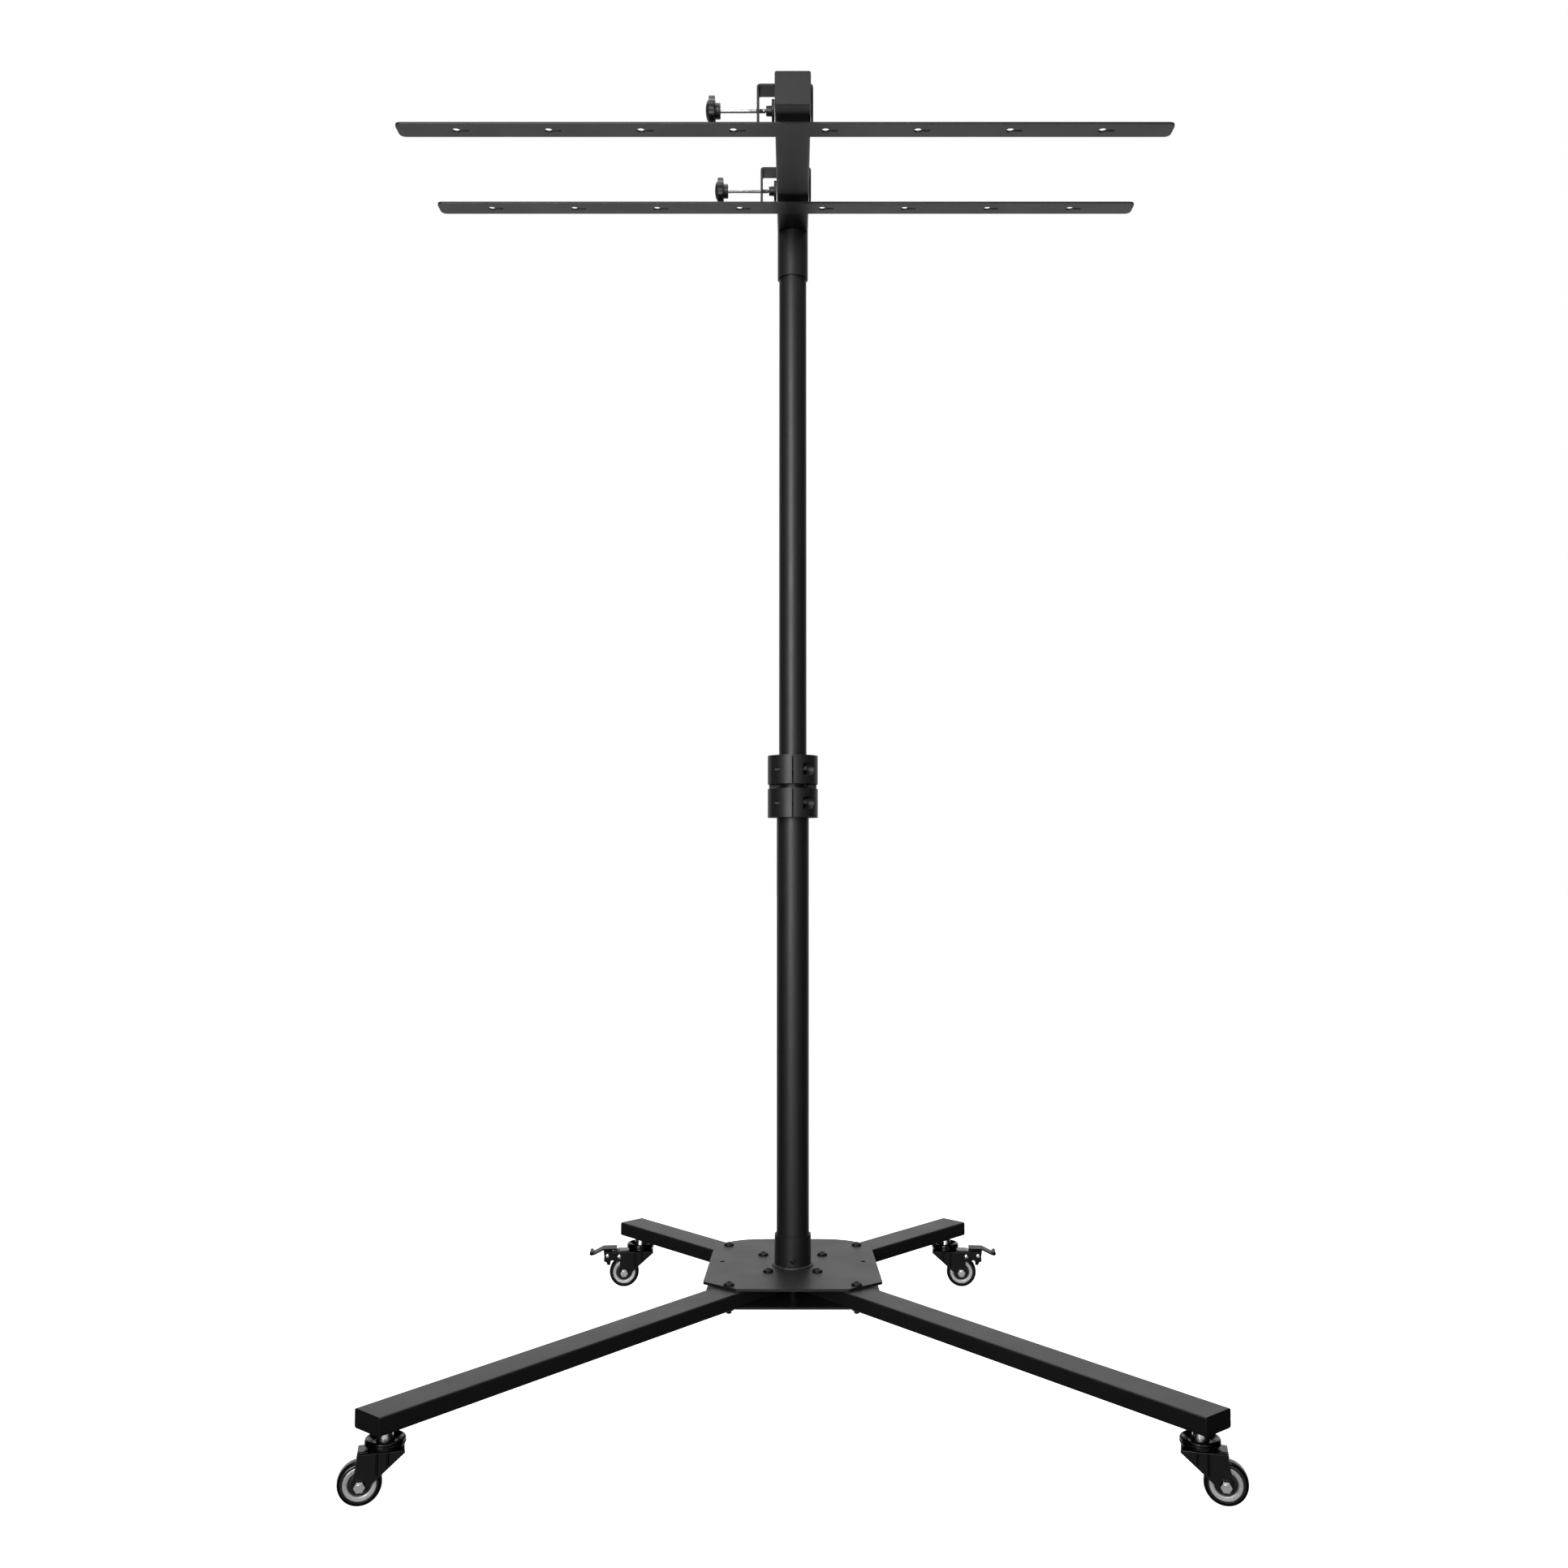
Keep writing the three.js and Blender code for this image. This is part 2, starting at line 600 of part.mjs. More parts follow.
// The outline of a fork cheek in (x, z). A braked fork's cheek reaches past the wheel to carry the pedal.
function cheekOutline(braked) {
  const shape = new THREE.Shape();
  const eye = 7.8;
  shape.moveTo(-21, FORK_TOP);
  shape.lineTo(-22, FORK_TOP - 4.5);
  shape.lineTo(TRAIL - eye * Math.SQRT1_2, WHEEL_RADIUS - eye * Math.SQRT1_2);
  shape.absarc(TRAIL, WHEEL_RADIUS, eye, 225 * DEGREE, 375 * DEGREE, false);
  if (braked) {
    shape.lineTo(TRAIL + 7, 45);
    shape.lineTo(52.5, 46.5);
    shape.lineTo(56, 43.5);
    shape.lineTo(62, 44.5);
    shape.lineTo(61.5, 57.5);
    shape.lineTo(59, 59.5);
    shape.lineTo(40, 60);
  }
  shape.lineTo(29.5, FORK_TOP);
  shape.closePath();
  return shape;
}

function fork(braked) {
  const cheek = (y0) => upright(extrude(cheekOutline(braked), FORK_SHEET, 3), y0, FORK_SHEET);
  const crownOutline = new THREE.Shape();
  const half = FORK_WIDTH / 2;
  crownOutline.moveTo(29.5, -half);
  crownOutline.lineTo(29.5, half);
  crownOutline.lineTo(-21, half);
  crownOutline.lineTo(-21, -half);
  crownOutline.closePath();
  const crown = extrude(crownOutline, FORK_SHEET).translate(0, 0, FORK_TOP - FORK_SHEET);
  const bore = STEM_RADIUS + GAP;
  const race = turned(
    [
      [bore, FORK_TOP - FORK_SHEET],
      [20.5, FORK_TOP - FORK_SHEET],
      [RACE_RADIUS, FORK_TOP + 3],
      [RACE_RADIUS, RACE_TOP - 3],
      [RACE_RADIUS - 3, RACE_TOP],
      [14.5, FORK_TOP + 5],
      [bore, FORK_TOP + 5],
    ],
    WHEEL_SIDES,
  );
  const axleHole = acrossFork(rod(AXLE_RADIUS + HOLE_CLEARANCE, -20, 20, HOLE_SIDES), TRAIL, WHEEL_RADIUS);
  const stemHole = rod(bore, FORK_TOP - 5, FORK_TOP + 1, WHEEL_SIDES);
  let body = cut(join(cheek(-half), cheek(cheekInner), crown, race), axleHole, stemHole);
  if (braked) {
    const rivet = join(
      rod(PIN_RADIUS, -half - 0.5, half + 0.5, HOLE_SIDES),
      rod(PIN_HEAD_RADIUS, -half - 1.8, -half, HOLE_SIDES),
      rod(PIN_HEAD_RADIUS, half, half + 1.8, HOLE_SIDES),
    );
    body = join(body, acrossFork(rivet, BRAKE_RIVET.x, BRAKE_RIVET.z));
    const pinHole = rod(PIN_RADIUS + GAP, -20, 20, HOLE_SIDES);
    body = cut(body, acrossFork(pinHole, PEDAL_PIVOT.x, PEDAL_PIVOT.z));
  }
  return body;
}

// The threaded stem, its hexagon collar under the leg and the peened foot under the fork crown.
function casterStem() {
  const footBottom = FORK_TOP - FORK_SHEET - 3.5;
  const body = turned(
    [
      [0, footBottom],
      [7.5, footBottom],
      [7.5, FORK_TOP - FORK_SHEET - GAP],
      [STEM_RADIUS, FORK_TOP - FORK_SHEET - GAP],
      [STEM_RADIUS, LEG_BOTTOM + STEM_LENGTH_IN_LEG],
      [0, LEG_BOTTOM + STEM_LENGTH_IN_LEG],
    ],
    SCREW_SIDES,
  );
  return join(body, hexagon(15.5, FORK_TOP + 7, LEG_BOTTOM - GAP));
}

function tyre() {
  const half = TREAD_WIDTH / 2;
  const inner = CORE_RADIUS + GAP;
  const profile = [
    [inner, -half],
    [WHEEL_RADIUS - 2.5, -half],
    [WHEEL_RADIUS, -half + 4.5],
    [WHEEL_RADIUS, half - 4.5],
    [WHEEL_RADIUS - 2.5, half],
    [inner, half],
  ];
  return acrossFork(turned(profile, WHEEL_SIDES), TRAIL, WHEEL_RADIUS);
}

function wheelCore() {
  const half = TREAD_WIDTH / 2 - 0.4;
  const hub = cheekInner - 0.7;
  const profile = [
    [AXLE_RADIUS + GAP, -hub],
    [8, -hub],
    [RING_INNER, -5.5],
    [RING_INNER, -half],
    [CORE_RADIUS, -half],
    [CORE_RADIUS, half],
    [RING_INNER, half],
    [RING_INNER, 5.5],
    [8, hub],
    [AXLE_RADIUS + GAP, hub],
  ];
  return acrossFork(turned(profile, WHEEL_SIDES), TRAIL, WHEEL_RADIUS);
}

// The head is towards +Y, or towards -Y when the bolt is turned round.
function axleBolt(turnedRound) {
  const half = FORK_WIDTH / 2 + GAP;
  const head = 4.2;
  const body = turned(
    [
      [0, -half - head],
      [4, -half - head],
      [6.2, -half],
      [AXLE_RADIUS, -half],
      [AXLE_RADIUS, half + head + 1],
      [0, half + head + 1],
    ],
    SCREW_SIDES,
  );
  const bolt = join(body, hexagon(12, half, half + head));
  if (turnedRound) bolt.rotateX(Math.PI);
  return acrossFork(bolt, TRAIL, WHEEL_RADIUS);
}

// A bent pedal with two flanges on the pivot pin and a foot that swings in against the tread.
function brakePedal() {
  const top = new THREE.Shape();
  top.moveTo(40, 63.5);
  top.lineTo(62, 63.5);
  top.lineTo(80, 55);
  top.lineTo(86, 57.5);
  top.lineTo(85.2, 59.8);
  top.lineTo(80, 57.6);
  top.lineTo(63, 66);
  top.lineTo(40, 66);
  top.closePath();
  const flange = new THREE.Shape();
  flange.moveTo(49, 65);
  flange.lineTo(51, 38);
  flange.lineTo(56, 38);
  flange.lineTo(61.5, 50);
  flange.lineTo(63, 64);
  flange.closePath();
  const halfTop = 12.5;
  const flangeOuter = cheekInner - 1;
  const sheet = 2;
  const plate = (shape, y0, depth) => upright(extrude(shape, depth), y0, depth);
  const foot = block([52, -flangeOuter + 1, 38], [56, flangeOuter - 1, 44]);
  const body = join(
    plate(top, -halfTop, 2 * halfTop),
    plate(flange, -flangeOuter, sheet),
    plate(flange, flangeOuter - sheet, sheet),
    foot,
  );
  return cut(body, acrossFork(rod(PIN_RADIUS + GAP, -20, 20, HOLE_SIDES), PEDAL_PIVOT.x, PEDAL_PIVOT.z));
}

function brakePin() {
  const half = FORK_WIDTH / 2 + GAP;
  const pin = join(
    rod(PIN_RADIUS, -half - 1, half + 1, HOLE_SIDES),
    rod(PIN_HEAD_RADIUS, -half - 1.8, -half, HOLE_SIDES),
    rod(PIN_HEAD_RADIUS, half, half + 1.8, HOLE_SIDES),
  );
  return acrossFork(pin, PEDAL_PIVOT.x, PEDAL_PIVOT.z);
}

for (const [sideName, side] of Object.entries(SIDES))
  for (const end of ["front", "rear"]) {
    const { reach, heading } = end === "front" ? FRONT_LEG : REAR_LEG;
    const place = `${end}_${sideName}`;
    const angle = legAngle(side, end);
    const caster = new THREE.Group();
    const stemReach = reach - STEM_INSET;
    caster.position.set(stemReach * Math.cos(angle), stemReach * Math.sin(angle), 0);
    caster.rotation.z = side > 0 ? -heading * DEGREE : Math.PI + heading * DEGREE;
    stand.add(caster);
    const braked = end === "rear";
    add(`caster_stem_${place}`, casterStem(), ZINC, caster);
    add(`caster_fork_${place}`, fork(braked), GLOSS, caster);
    add(`caster_axle_${place}`, axleBolt(side > 0), ZINC, caster); // every head faces the front of the stand
    add(`wheel_core_${place}`, wheelCore(), GLOSS, caster);
    add(`wheel_tyre_${place}`, tyre(), TREAD, caster);
    if (braked) {
      add(`brake_pedal_${sideName}`, brakePedal(), GLOSS, caster);
      add(`brake_pin_${sideName}`, brakePin(), ZINC, caster);
    }
  }

export default stand;
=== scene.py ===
# %% [markdown]
# # A rolling crossbar stand
# The stand is a flat X of box tube on four casters, a two-part pole, and a square arm with two crossbars.
# The mechanical model is loaded first as a fixed frame, and every piece here takes its place from it.
# Nothing below moves a loaded part: a piece either dresses it with a finish or stands in for it.

# %% Load the frame
import json
import math

import bpy
from mathutils import Matrix, Vector

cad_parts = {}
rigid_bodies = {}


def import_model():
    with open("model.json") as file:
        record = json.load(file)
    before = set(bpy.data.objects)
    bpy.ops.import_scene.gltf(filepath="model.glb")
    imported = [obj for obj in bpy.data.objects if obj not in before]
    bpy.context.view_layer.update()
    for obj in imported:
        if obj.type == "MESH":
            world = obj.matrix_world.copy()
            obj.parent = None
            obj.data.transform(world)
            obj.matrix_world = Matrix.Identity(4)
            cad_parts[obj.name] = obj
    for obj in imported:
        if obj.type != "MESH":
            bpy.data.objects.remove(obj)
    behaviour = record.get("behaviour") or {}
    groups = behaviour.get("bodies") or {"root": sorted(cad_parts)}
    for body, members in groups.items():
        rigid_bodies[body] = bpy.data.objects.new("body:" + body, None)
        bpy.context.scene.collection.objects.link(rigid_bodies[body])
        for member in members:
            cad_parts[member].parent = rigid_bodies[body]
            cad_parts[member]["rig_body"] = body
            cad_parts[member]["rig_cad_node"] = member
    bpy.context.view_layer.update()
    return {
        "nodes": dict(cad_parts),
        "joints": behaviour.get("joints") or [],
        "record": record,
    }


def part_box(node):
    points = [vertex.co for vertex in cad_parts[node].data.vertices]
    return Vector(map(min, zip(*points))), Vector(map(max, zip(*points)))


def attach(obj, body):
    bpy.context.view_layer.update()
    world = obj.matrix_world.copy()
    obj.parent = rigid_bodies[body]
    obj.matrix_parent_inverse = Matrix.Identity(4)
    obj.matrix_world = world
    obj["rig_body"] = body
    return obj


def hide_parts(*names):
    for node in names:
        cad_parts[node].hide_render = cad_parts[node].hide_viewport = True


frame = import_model()
nodes = frame["nodes"]
joints = {joint["name"]: joint for joint in frame["joints"]}
body_of_node = {node: body for body, held in frame["record"]["behaviour"]["bodies"].items() for node in held}
slot_of_node = {part["node"]: part["material_slot"] for part in frame["record"]["subparts"]}
MM = 0.001

# %% [markdown]
# ## Camera
# The stand is seen square from the front by a lens at hip height that looks up a little, so the plate's top
# and the crossbars' undersides both show. A small sideways shift sets the pole right of the middle.

# %% Camera
pole_low, pole_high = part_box("lower_tube")
POLE = Vector(((pole_low.x + pole_high.x) / 2, (pole_low.y + pole_high.y) / 2, 0))
CAMERA_DISTANCE = 2.252
CAMERA_HEIGHT = 0.723
CAMERA_TILT = math.radians(3.15)
camera_data = bpy.data.cameras.new("camera")
camera_data.lens = 33.22
camera_data.sensor_width = 36
camera_data.shift_x = -0.0056
camera = bpy.data.objects.new("camera", camera_data)
camera.location = POLE + Vector((0, -CAMERA_DISTANCE, CAMERA_HEIGHT))
camera.rotation_euler = (math.pi / 2 + CAMERA_TILT, 0, 0)
bpy.context.scene.collection.objects.link(camera)
bpy.context.scene.camera = camera
print("camera at", [round(v, 3) for v in camera.location])

# %% [markdown]
# ## Tools for materials
# Paint charts give colours as sRGB, and a shader wants linear light, so one function turns one into the
# other. A second adds a node with its settings and its links, which keeps each finish to a few lines.


# %% Colour and node helpers
def linear(hex_colour):
    """The linear RGBA of an sRGB hex colour."""
    channels = [int(hex_colour[i : i + 2], 16) / 255 for i in (1, 3, 5)]
    return [c / 12.92 if c <= 0.04045 else ((c + 0.055) / 1.055) ** 2.4 for c in channels] + [1]


def add_node(material, kind, settings=None, **links):
    """Adds a shader node. A link's value is a number, a colour or another node's output socket."""
    tree = material.node_tree
    made = tree.nodes.new(kind)
    for key, value in (settings or {}).items():
        setattr(made, key, value)
    for key, value in links.items():
        socket = made.inputs[int(key[1:])] if key[1:].isdigit() else made.inputs[key.replace("_", " ")]
        if isinstance(value, bpy.types.NodeSocket):
            tree.links.new(value, socket)
        else:
            socket.default_value = value
    return made


def new_material(name, **shader_values):
    """An empty material with its surface shader, whose even values sit on the shader's own sockets."""
    material = bpy.data.materials.new(name)
    material.use_nodes = True
    shader = material.node_tree.nodes["Principled BSDF"]
    for key, value in shader_values.items():
        shader.inputs[key.replace("_", " ")].default_value = value
    return material, shader


def per_metre(size_mm):
    """The texture scale that makes one feature about this wide on Object coordinates."""
    return 1 / (size_mm * MM)


print("mid grey is", round(linear("#808080")[0], 3))

# %% [markdown]
# ## Powder coat
# Polyester powder is sprayed on dry and baked, and it flows into a skin of small soft bumps, so the black
# looks charcoal under a lamp and never shows a sharp reflection. Real grain is about 0.4 mm; it is drawn at
# 1.3 mm so that it shows from across a room. A second, slow noise varies the gloss from patch to patch.


# %% Fine-texture powder coat
def wired(material, shader, grain, gloss_by, stops, rough, relief):
    """Links colour and relief to one noise and gloss to another. Relief is a strength and a depth in mm."""
    tone = add_node(material, "ShaderNodeValToRGB", Fac=grain)
    for element, (position, colour) in zip(tone.color_ramp.elements, stops):
        element.position = position
        element.color = linear(colour)
    gloss = add_node(material, "ShaderNodeMapRange", Value=gloss_by, To_Min=rough[0], To_Max=rough[1])
    bump = add_node(material, "ShaderNodeBump", Height=grain, Strength=relief[0], Distance=relief[1] * MM)
    links = material.node_tree.links
    links.new(tone.outputs["Color"], shader.inputs["Base Color"])
    links.new(gloss.outputs["Result"], shader.inputs["Roughness"])
    links.new(bump.outputs["Normal"], shader.inputs["Normal"])
    return material


def powder_coat(name, colour, fleck):
    material, shader = new_material(name, Metallic=0.0, IOR=1.5)
    place = add_node(material, "ShaderNodeTexCoord").outputs["Object"]
    grain = add_node(material, "ShaderNodeTexNoise", Vector=place, Scale=per_metre(1.3), Detail=3.0)
    patch = add_node(material, "ShaderNodeTexNoise", Vector=place, Scale=per_metre(60), Detail=2.0)
    stops = ((0.35, colour), (0.7, fleck))
    return wired(
        material, shader, grain.outputs["Fac"], patch.outputs["Fac"], stops, (0.4, 0.52), (0.35, 0.2)
    )


POWDER = powder_coat("black_powder_coat_on_steel", "#131314", "#222223")
print("made", POWDER.name)

# %% [markdown]
# ## Lacquer, plating, oxide and plastics
# The caster forks are pressed steel dipped in gloss lacquer, which gives sharp highlights and a faint
# orange peel. The brake pedals wear a satin lacquer, duller and darker than the forks. Fasteners are zinc
# plated or blackened in hot oxide. Knobs and pads are moulded nylon with a fine spark-eroded texture, and the
# treads are poured polyurethane, smooth and a little soft in gloss.


# %% Smooth finishes with a fine pattern
def patterned(name, low, high, grain_mm, rough, bump_mm, **values):
    """A finish whose colour, gloss and relief all follow one noise of the given grain."""
    material, shader = new_material(name, **values)
    place = add_node(material, "ShaderNodeTexCoord").outputs["Object"]
    grain = add_node(material, "ShaderNodeTexNoise", Vector=place, Scale=per_metre(grain_mm), Detail=3.0)
    noise = grain.outputs["Fac"]
    return wired(material, shader, noise, noise, ((0.3, low), (0.7, high)), rough, (0.3, bump_mm))


LACQUER = patterned("gloss_lacquer_on_pressed_steel", "#050505", "#090909", 4, (0.11, 0.17), 0.03, IOR=1.38)
PEDAL_COAT = patterned("satin_lacquer_on_pedal", "#060606", "#0b0b0b", 3, (0.3, 0.4), 0.03, IOR=1.22)
ZINC = patterned("bright_zinc_plate", "#d6d8da", "#eceded", 2.5, (0.16, 0.3), 0.02, Metallic=1.0)
RING = patterned("satin_turned_aluminium", "#e2e2e2", "#f2f2f2", 1.5, (0.34, 0.46), 0.02, Metallic=0.8)
OXIDE = patterned("hot_black_oxide", "#1b1b1c", "#262627", 1.5, (0.36, 0.5), 0.03, Metallic=0.6)
NYLON = patterned("moulded_nylon", "#0e0e0f", "#161617", 1.2, (0.38, 0.5), 0.05, IOR=1.53)
TREAD = patterned("poured_polyurethane", "#0c0c0c", "#131313", 6, (0.2, 0.3), 0.03, IOR=1.5)
BEAD = patterned("powder_coat_over_weld", "#1d1d1e", "#303031", 1.6, (0.42, 0.55), 0.2, IOR=1.5)
FINISH_OF_SLOT = {
    "black_powder_coat": POWDER,
    "gloss_black_steel": LACQUER,
    "zinc_steel": ZINC,
    "dark_steel": OXIDE,
    "black_plastic": NYLON,
    "wheel_core_plastic": NYLON,
    "tyre_black": TREAD,
}
for name, node in nodes.items():
    node.data.materials.clear()
    node.data.materials.append(FINISH_OF_SLOT[slot_of_node[name]])
print(len(bpy.data.materials), "materials")

# %% [markdown]
# ## Tools for pieces
# An operator works on whatever is selected, so `only` clears the selection first. `drawn` walks one vertex
# from point to point to draw a profile, as with a pencil: spun round an axis it becomes a turned part, and
# filled and pulled out it becomes a piece of plate. `settle` puts a piece's place into its mesh.


# %% Selecting, drawing and finishing
def only(piece):
    if bpy.context.object and bpy.context.object.mode != "OBJECT":
        bpy.ops.object.mode_set(mode="OBJECT")
    bpy.ops.object.select_all(action="DESELECT")
    piece.select_set(True)
    bpy.context.view_layer.objects.active = piece


def applied(piece, kind, **settings):
    """Adds a modifier to a piece and applies it."""
    only(piece)
    bpy.ops.object.modifier_add(type=kind)
    modifier = piece.modifiers[-1]
    for key, value in settings.items():
        setattr(modifier, key, value)
    bpy.ops.object.modifier_apply(modifier=modifier.name)
    return piece


def rounded_edges(piece, width_mm, segments=3, angle=35):
    return applied(
        piece, "BEVEL", width=width_mm * MM, segments=segments, limit_method="ANGLE",
        angle_limit=math.radians(angle),
    )


def drawn(name, points):
    """One vertex pulled from point to point, in millimetres; the piece is left in edit mode."""
    bpy.ops.object.select_all(action="DESELECT")
    bpy.ops.mesh.primitive_plane_add(size=MM, location=(0, 0, 0))
    piece = bpy.context.object
    piece.name = piece.data.name = name
    bpy.ops.object.mode_set(mode="EDIT")
    bpy.ops.mesh.select_mode(type="VERT")
    bpy.ops.mesh.select_all(action="SELECT")
    bpy.ops.mesh.merge(type="CENTER")
    places = [Vector(point) * MM for point in points]
    bpy.ops.transform.translate(value=places[0])
    for here, there in zip(places, places[1:]):
        bpy.ops.mesh.extrude_region_move(TRANSFORM_OT_translate={"value": there - here})
    bpy.ops.mesh.select_all(action="SELECT")
    return piece


def tidied(piece):
    """Merges what coincides and turns every face outwards."""
    bpy.ops.mesh.select_all(action="SELECT")
    bpy.ops.mesh.remove_doubles(threshold=0.002 * MM)
    bpy.ops.mesh.normals_make_consistent(inside=False)
    bpy.ops.object.mode_set(mode="OBJECT")
    return piece


def turned(name, profile, steps=72):
    """A profile of (radius, height) points spun round Z."""
    piece = drawn(name, [(radius, 0, height) for radius, height in profile])
    bpy.ops.mesh.spin(steps=steps, angle=2 * math.pi, center=(0, 0, 0), axis=(0, 0, 1))
    return tidied(piece)


def plate(name, outline, thickness_mm):
    """A closed outline of (x, y) points, filled and pulled up by the plate's thickness."""
    piece = drawn(name, [(x, y, 0) for x, y in outline])
    bpy.ops.mesh.edge_face_add()
    bpy.ops.mesh.extrude_region_move(
        TRANSFORM_OT_translate={"value": (0, 0, thickness_mm * MM)}
    )
    return tidied(piece)


def settle(piece, matrix):
    """Moves a piece by a matrix and keeps the place in its mesh."""
    only(piece)
    piece.matrix_world = matrix @ piece.matrix_world
    bpy.ops.object.transform_apply(location=True, rotation=True, scale=True)
    return piece


def copied(piece, name):
    only(piece)
    bpy.ops.object.duplicate()
    made = bpy.context.object
    made.name = made.data.name = name
    return made


def discard(*pieces):
    """Deletes pieces that were only a pattern or a tool."""
    for piece in pieces:
        only(piece)
        bpy.ops.object.delete()


def combined(piece, tool, operation):
    """Cuts, joins or crosses a piece with a tool, which is used up."""
    applied(piece, "BOOLEAN", operation=operation, object=tool, solver="EXACT")
    discard(tool)
    return piece


def shift(x=0, y=0, z=0):
    return Matrix.Translation(Vector((x, y, z)) * MM)


def turn(degrees, axis):
    return Matrix.Rotation(math.radians(degrees), 4, axis)


def arc(x, y, radius, start, end, steps):
    """Points along a circle, from one angle to another, in degrees."""
    angles = [math.radians(start + (end - start) * i / steps) for i in range(steps + 1)]
    return [(x + radius * math.cos(angle), y + radius * math.sin(angle)) for angle in angles]


def block(name, low, high):
    """A box between two corners, in millimetres."""
    bpy.ops.object.select_all(action="DESELECT")
    low, high = Vector(low), Vector(high)
    bpy.ops.mesh.primitive_cube_add(size=1, location=(low + high) / 2 * MM)
    piece = bpy.context.object
    piece.name = piece.data.name = name
    piece.scale = (high - low) * MM
    bpy.ops.object.transform_apply(location=True, rotation=True, scale=True)
    return piece


def rod(name, radius_mm, start_mm, end_mm, sides=48):
    """A plain round or many-sided bar along Z, mostly for cutting holes."""
    return turned(
        name, [(0, start_mm), (radius_mm, start_mm), (radius_mm, end_mm), (0, end_mm)], sides
    )


def install(piece, body, finish, slot, *replaced, smooth=40):
    """Gives a piece its finish and shading, and makes it ride on its body."""
    only(piece)
    bpy.ops.object.shade_smooth_by_angle(angle=math.radians(smooth))
    applied(piece, "WEIGHTED_NORMAL", keep_sharp=True)
    piece.data.materials.clear()
    piece.data.materials.append(finish)
    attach(piece, body)
    if replaced:
        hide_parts(*replaced)
    return piece


def dressed_copy(node, name, edge_mm):
    """A merged copy of a loaded part with its sharp edges broken, for a sheet, tube or plate."""
    only(nodes[node])
    bpy.ops.object.duplicate()
    piece = bpy.context.object
    bpy.ops.object.parent_clear(type="CLEAR_KEEP_TRANSFORM")
    piece.name = piece.data.name = name
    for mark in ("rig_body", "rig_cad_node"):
        del piece[mark]
    bpy.ops.object.mode_set(mode="EDIT")
    bpy.ops.mesh.select_mode(type="VERT")
    bpy.ops.mesh.select_all(action="SELECT")
    bpy.ops.mesh.remove_doubles(threshold=0.01 * MM)
    bpy.ops.mesh.dissolve_limited(angle_limit=math.radians(0.5))
    bpy.ops.object.mode_set(mode="OBJECT")
    rounded_edges(piece, edge_mm)
    return install(piece, body_of_node[node], FINISH_OF_SLOT[slot_of_node[node]], slot_of_node[node], node)


def mm_box(node):
    """A loaded part's lowest and highest corners, in millimetres."""
    low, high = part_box(node)
    return low / MM, high / MM


GAP = 0.3  # clear space in millimetres between two pieces that meet
TO_POLE = shift(POLE.x / MM, POLE.y / MM)
print("pole axis at", [round(v / MM, 2) for v in POLE[:2]], "mm")

# %% [markdown]
# ## Base plates and legs
# The plates are laser cut and the legs are mild-steel box tube, so their shapes are already right. Powder
# gathers at a sharp edge and rounds it, and that thin rounded line is what catches the light.

# %% Base plates and legs
for node in ("base_plate_top", "base_plate_bottom"):
    dressed_copy(node, node.replace("base_", "cut_"), 0.5)
for place in ("front_left", "front_right", "rear_left", "rear_right"):
    dressed_copy(f"leg_{place}", f"box_tube_{place}", 0.5)
print("dressed the plates and four legs")

# %% [markdown]
# ## Leg bolts
# Each bolt is a pan head with a cross recess. The head is a low dome, turned, with two crossed blocks cut
# out of it; the nut under the plate is a six-sided bar with its corners chamfered.

# %% Leg bolts
bolt_low, bolt_high = mm_box("leg_bolt_front_outer_right")
PLATE_TOP = mm_box("base_plate_top")[1].z
UNDERSIDE = mm_box("base_plate_bottom")[0].z
HEAD_RADIUS, HEAD_RIM, SHANK_RADIUS = 8.0, 0.8, 3.9
RECESS, RECESS_REACH, RECESS_TURN = 2.3, 4.2, 20
NUT_RADIUS, NUT_HEIGHT = 7.5, 6.5
HEAD_SEAT = PLATE_TOP + GAP
HEAD_HEIGHT = bolt_high.z - HEAD_SEAT
dome = [
    (HEAD_RADIUS * math.cos(a), HEAD_SEAT + HEAD_RIM + (HEAD_HEIGHT - HEAD_RIM) * math.sin(a))
    for a in [i * math.pi / 16 for i in range(9)]
]
bolt = turned(
    "bolt_pattern",
    [(0, bolt_low.z), (SHANK_RADIUS - 0.6, bolt_low.z), (SHANK_RADIUS, bolt_low.z + 0.6),
     (SHANK_RADIUS, HEAD_SEAT), (HEAD_RADIUS, HEAD_SEAT), *dome[:-1], (0, bolt_high.z)],
    48,
)
for angle in (0, 90):
    recess_low = (-RECESS_REACH, -RECESS / 2, bolt_high.z - RECESS)
    recess_high = (RECESS_REACH, RECESS / 2, bolt_high.z + 2)
    slot_cut = settle(block("recess", recess_low, recess_high), turn(angle + RECESS_TURN, "Z"))
    combined(bolt, slot_cut, "DIFFERENCE")
nut = rod("nut", NUT_RADIUS, UNDERSIDE - GAP - NUT_HEIGHT, UNDERSIDE - GAP, 6)
rounded_edges(nut, 0.6)
combined(bolt, nut, "UNION")
rounded_edges(bolt, 0.15, segments=2, angle=50)
for node in [n for n in nodes if n.startswith("leg_bolt_")]:
    low, high = mm_box(node)
    piece = copied(bolt, node.replace("leg_bolt", "pan_bolt"))
    settle(piece, shift((low.x + high.x) / 2, (low.y + high.y) / 2))
    install(piece, "base", OXIDE, "dark_steel", node)
discard(bolt)
print("eight bolts, heads", round(HEAD_HEIGHT, 2), "mm high")

# %% [markdown]
# ## Pole socket, weld and set screw
# The socket is a short tube welded to the plate. Its foot has a hand-laid bead, which is a ring with uneven
# lumps: a torus pushed in and out by a cloud pattern. The rim is broken so that it shows as a thin line.

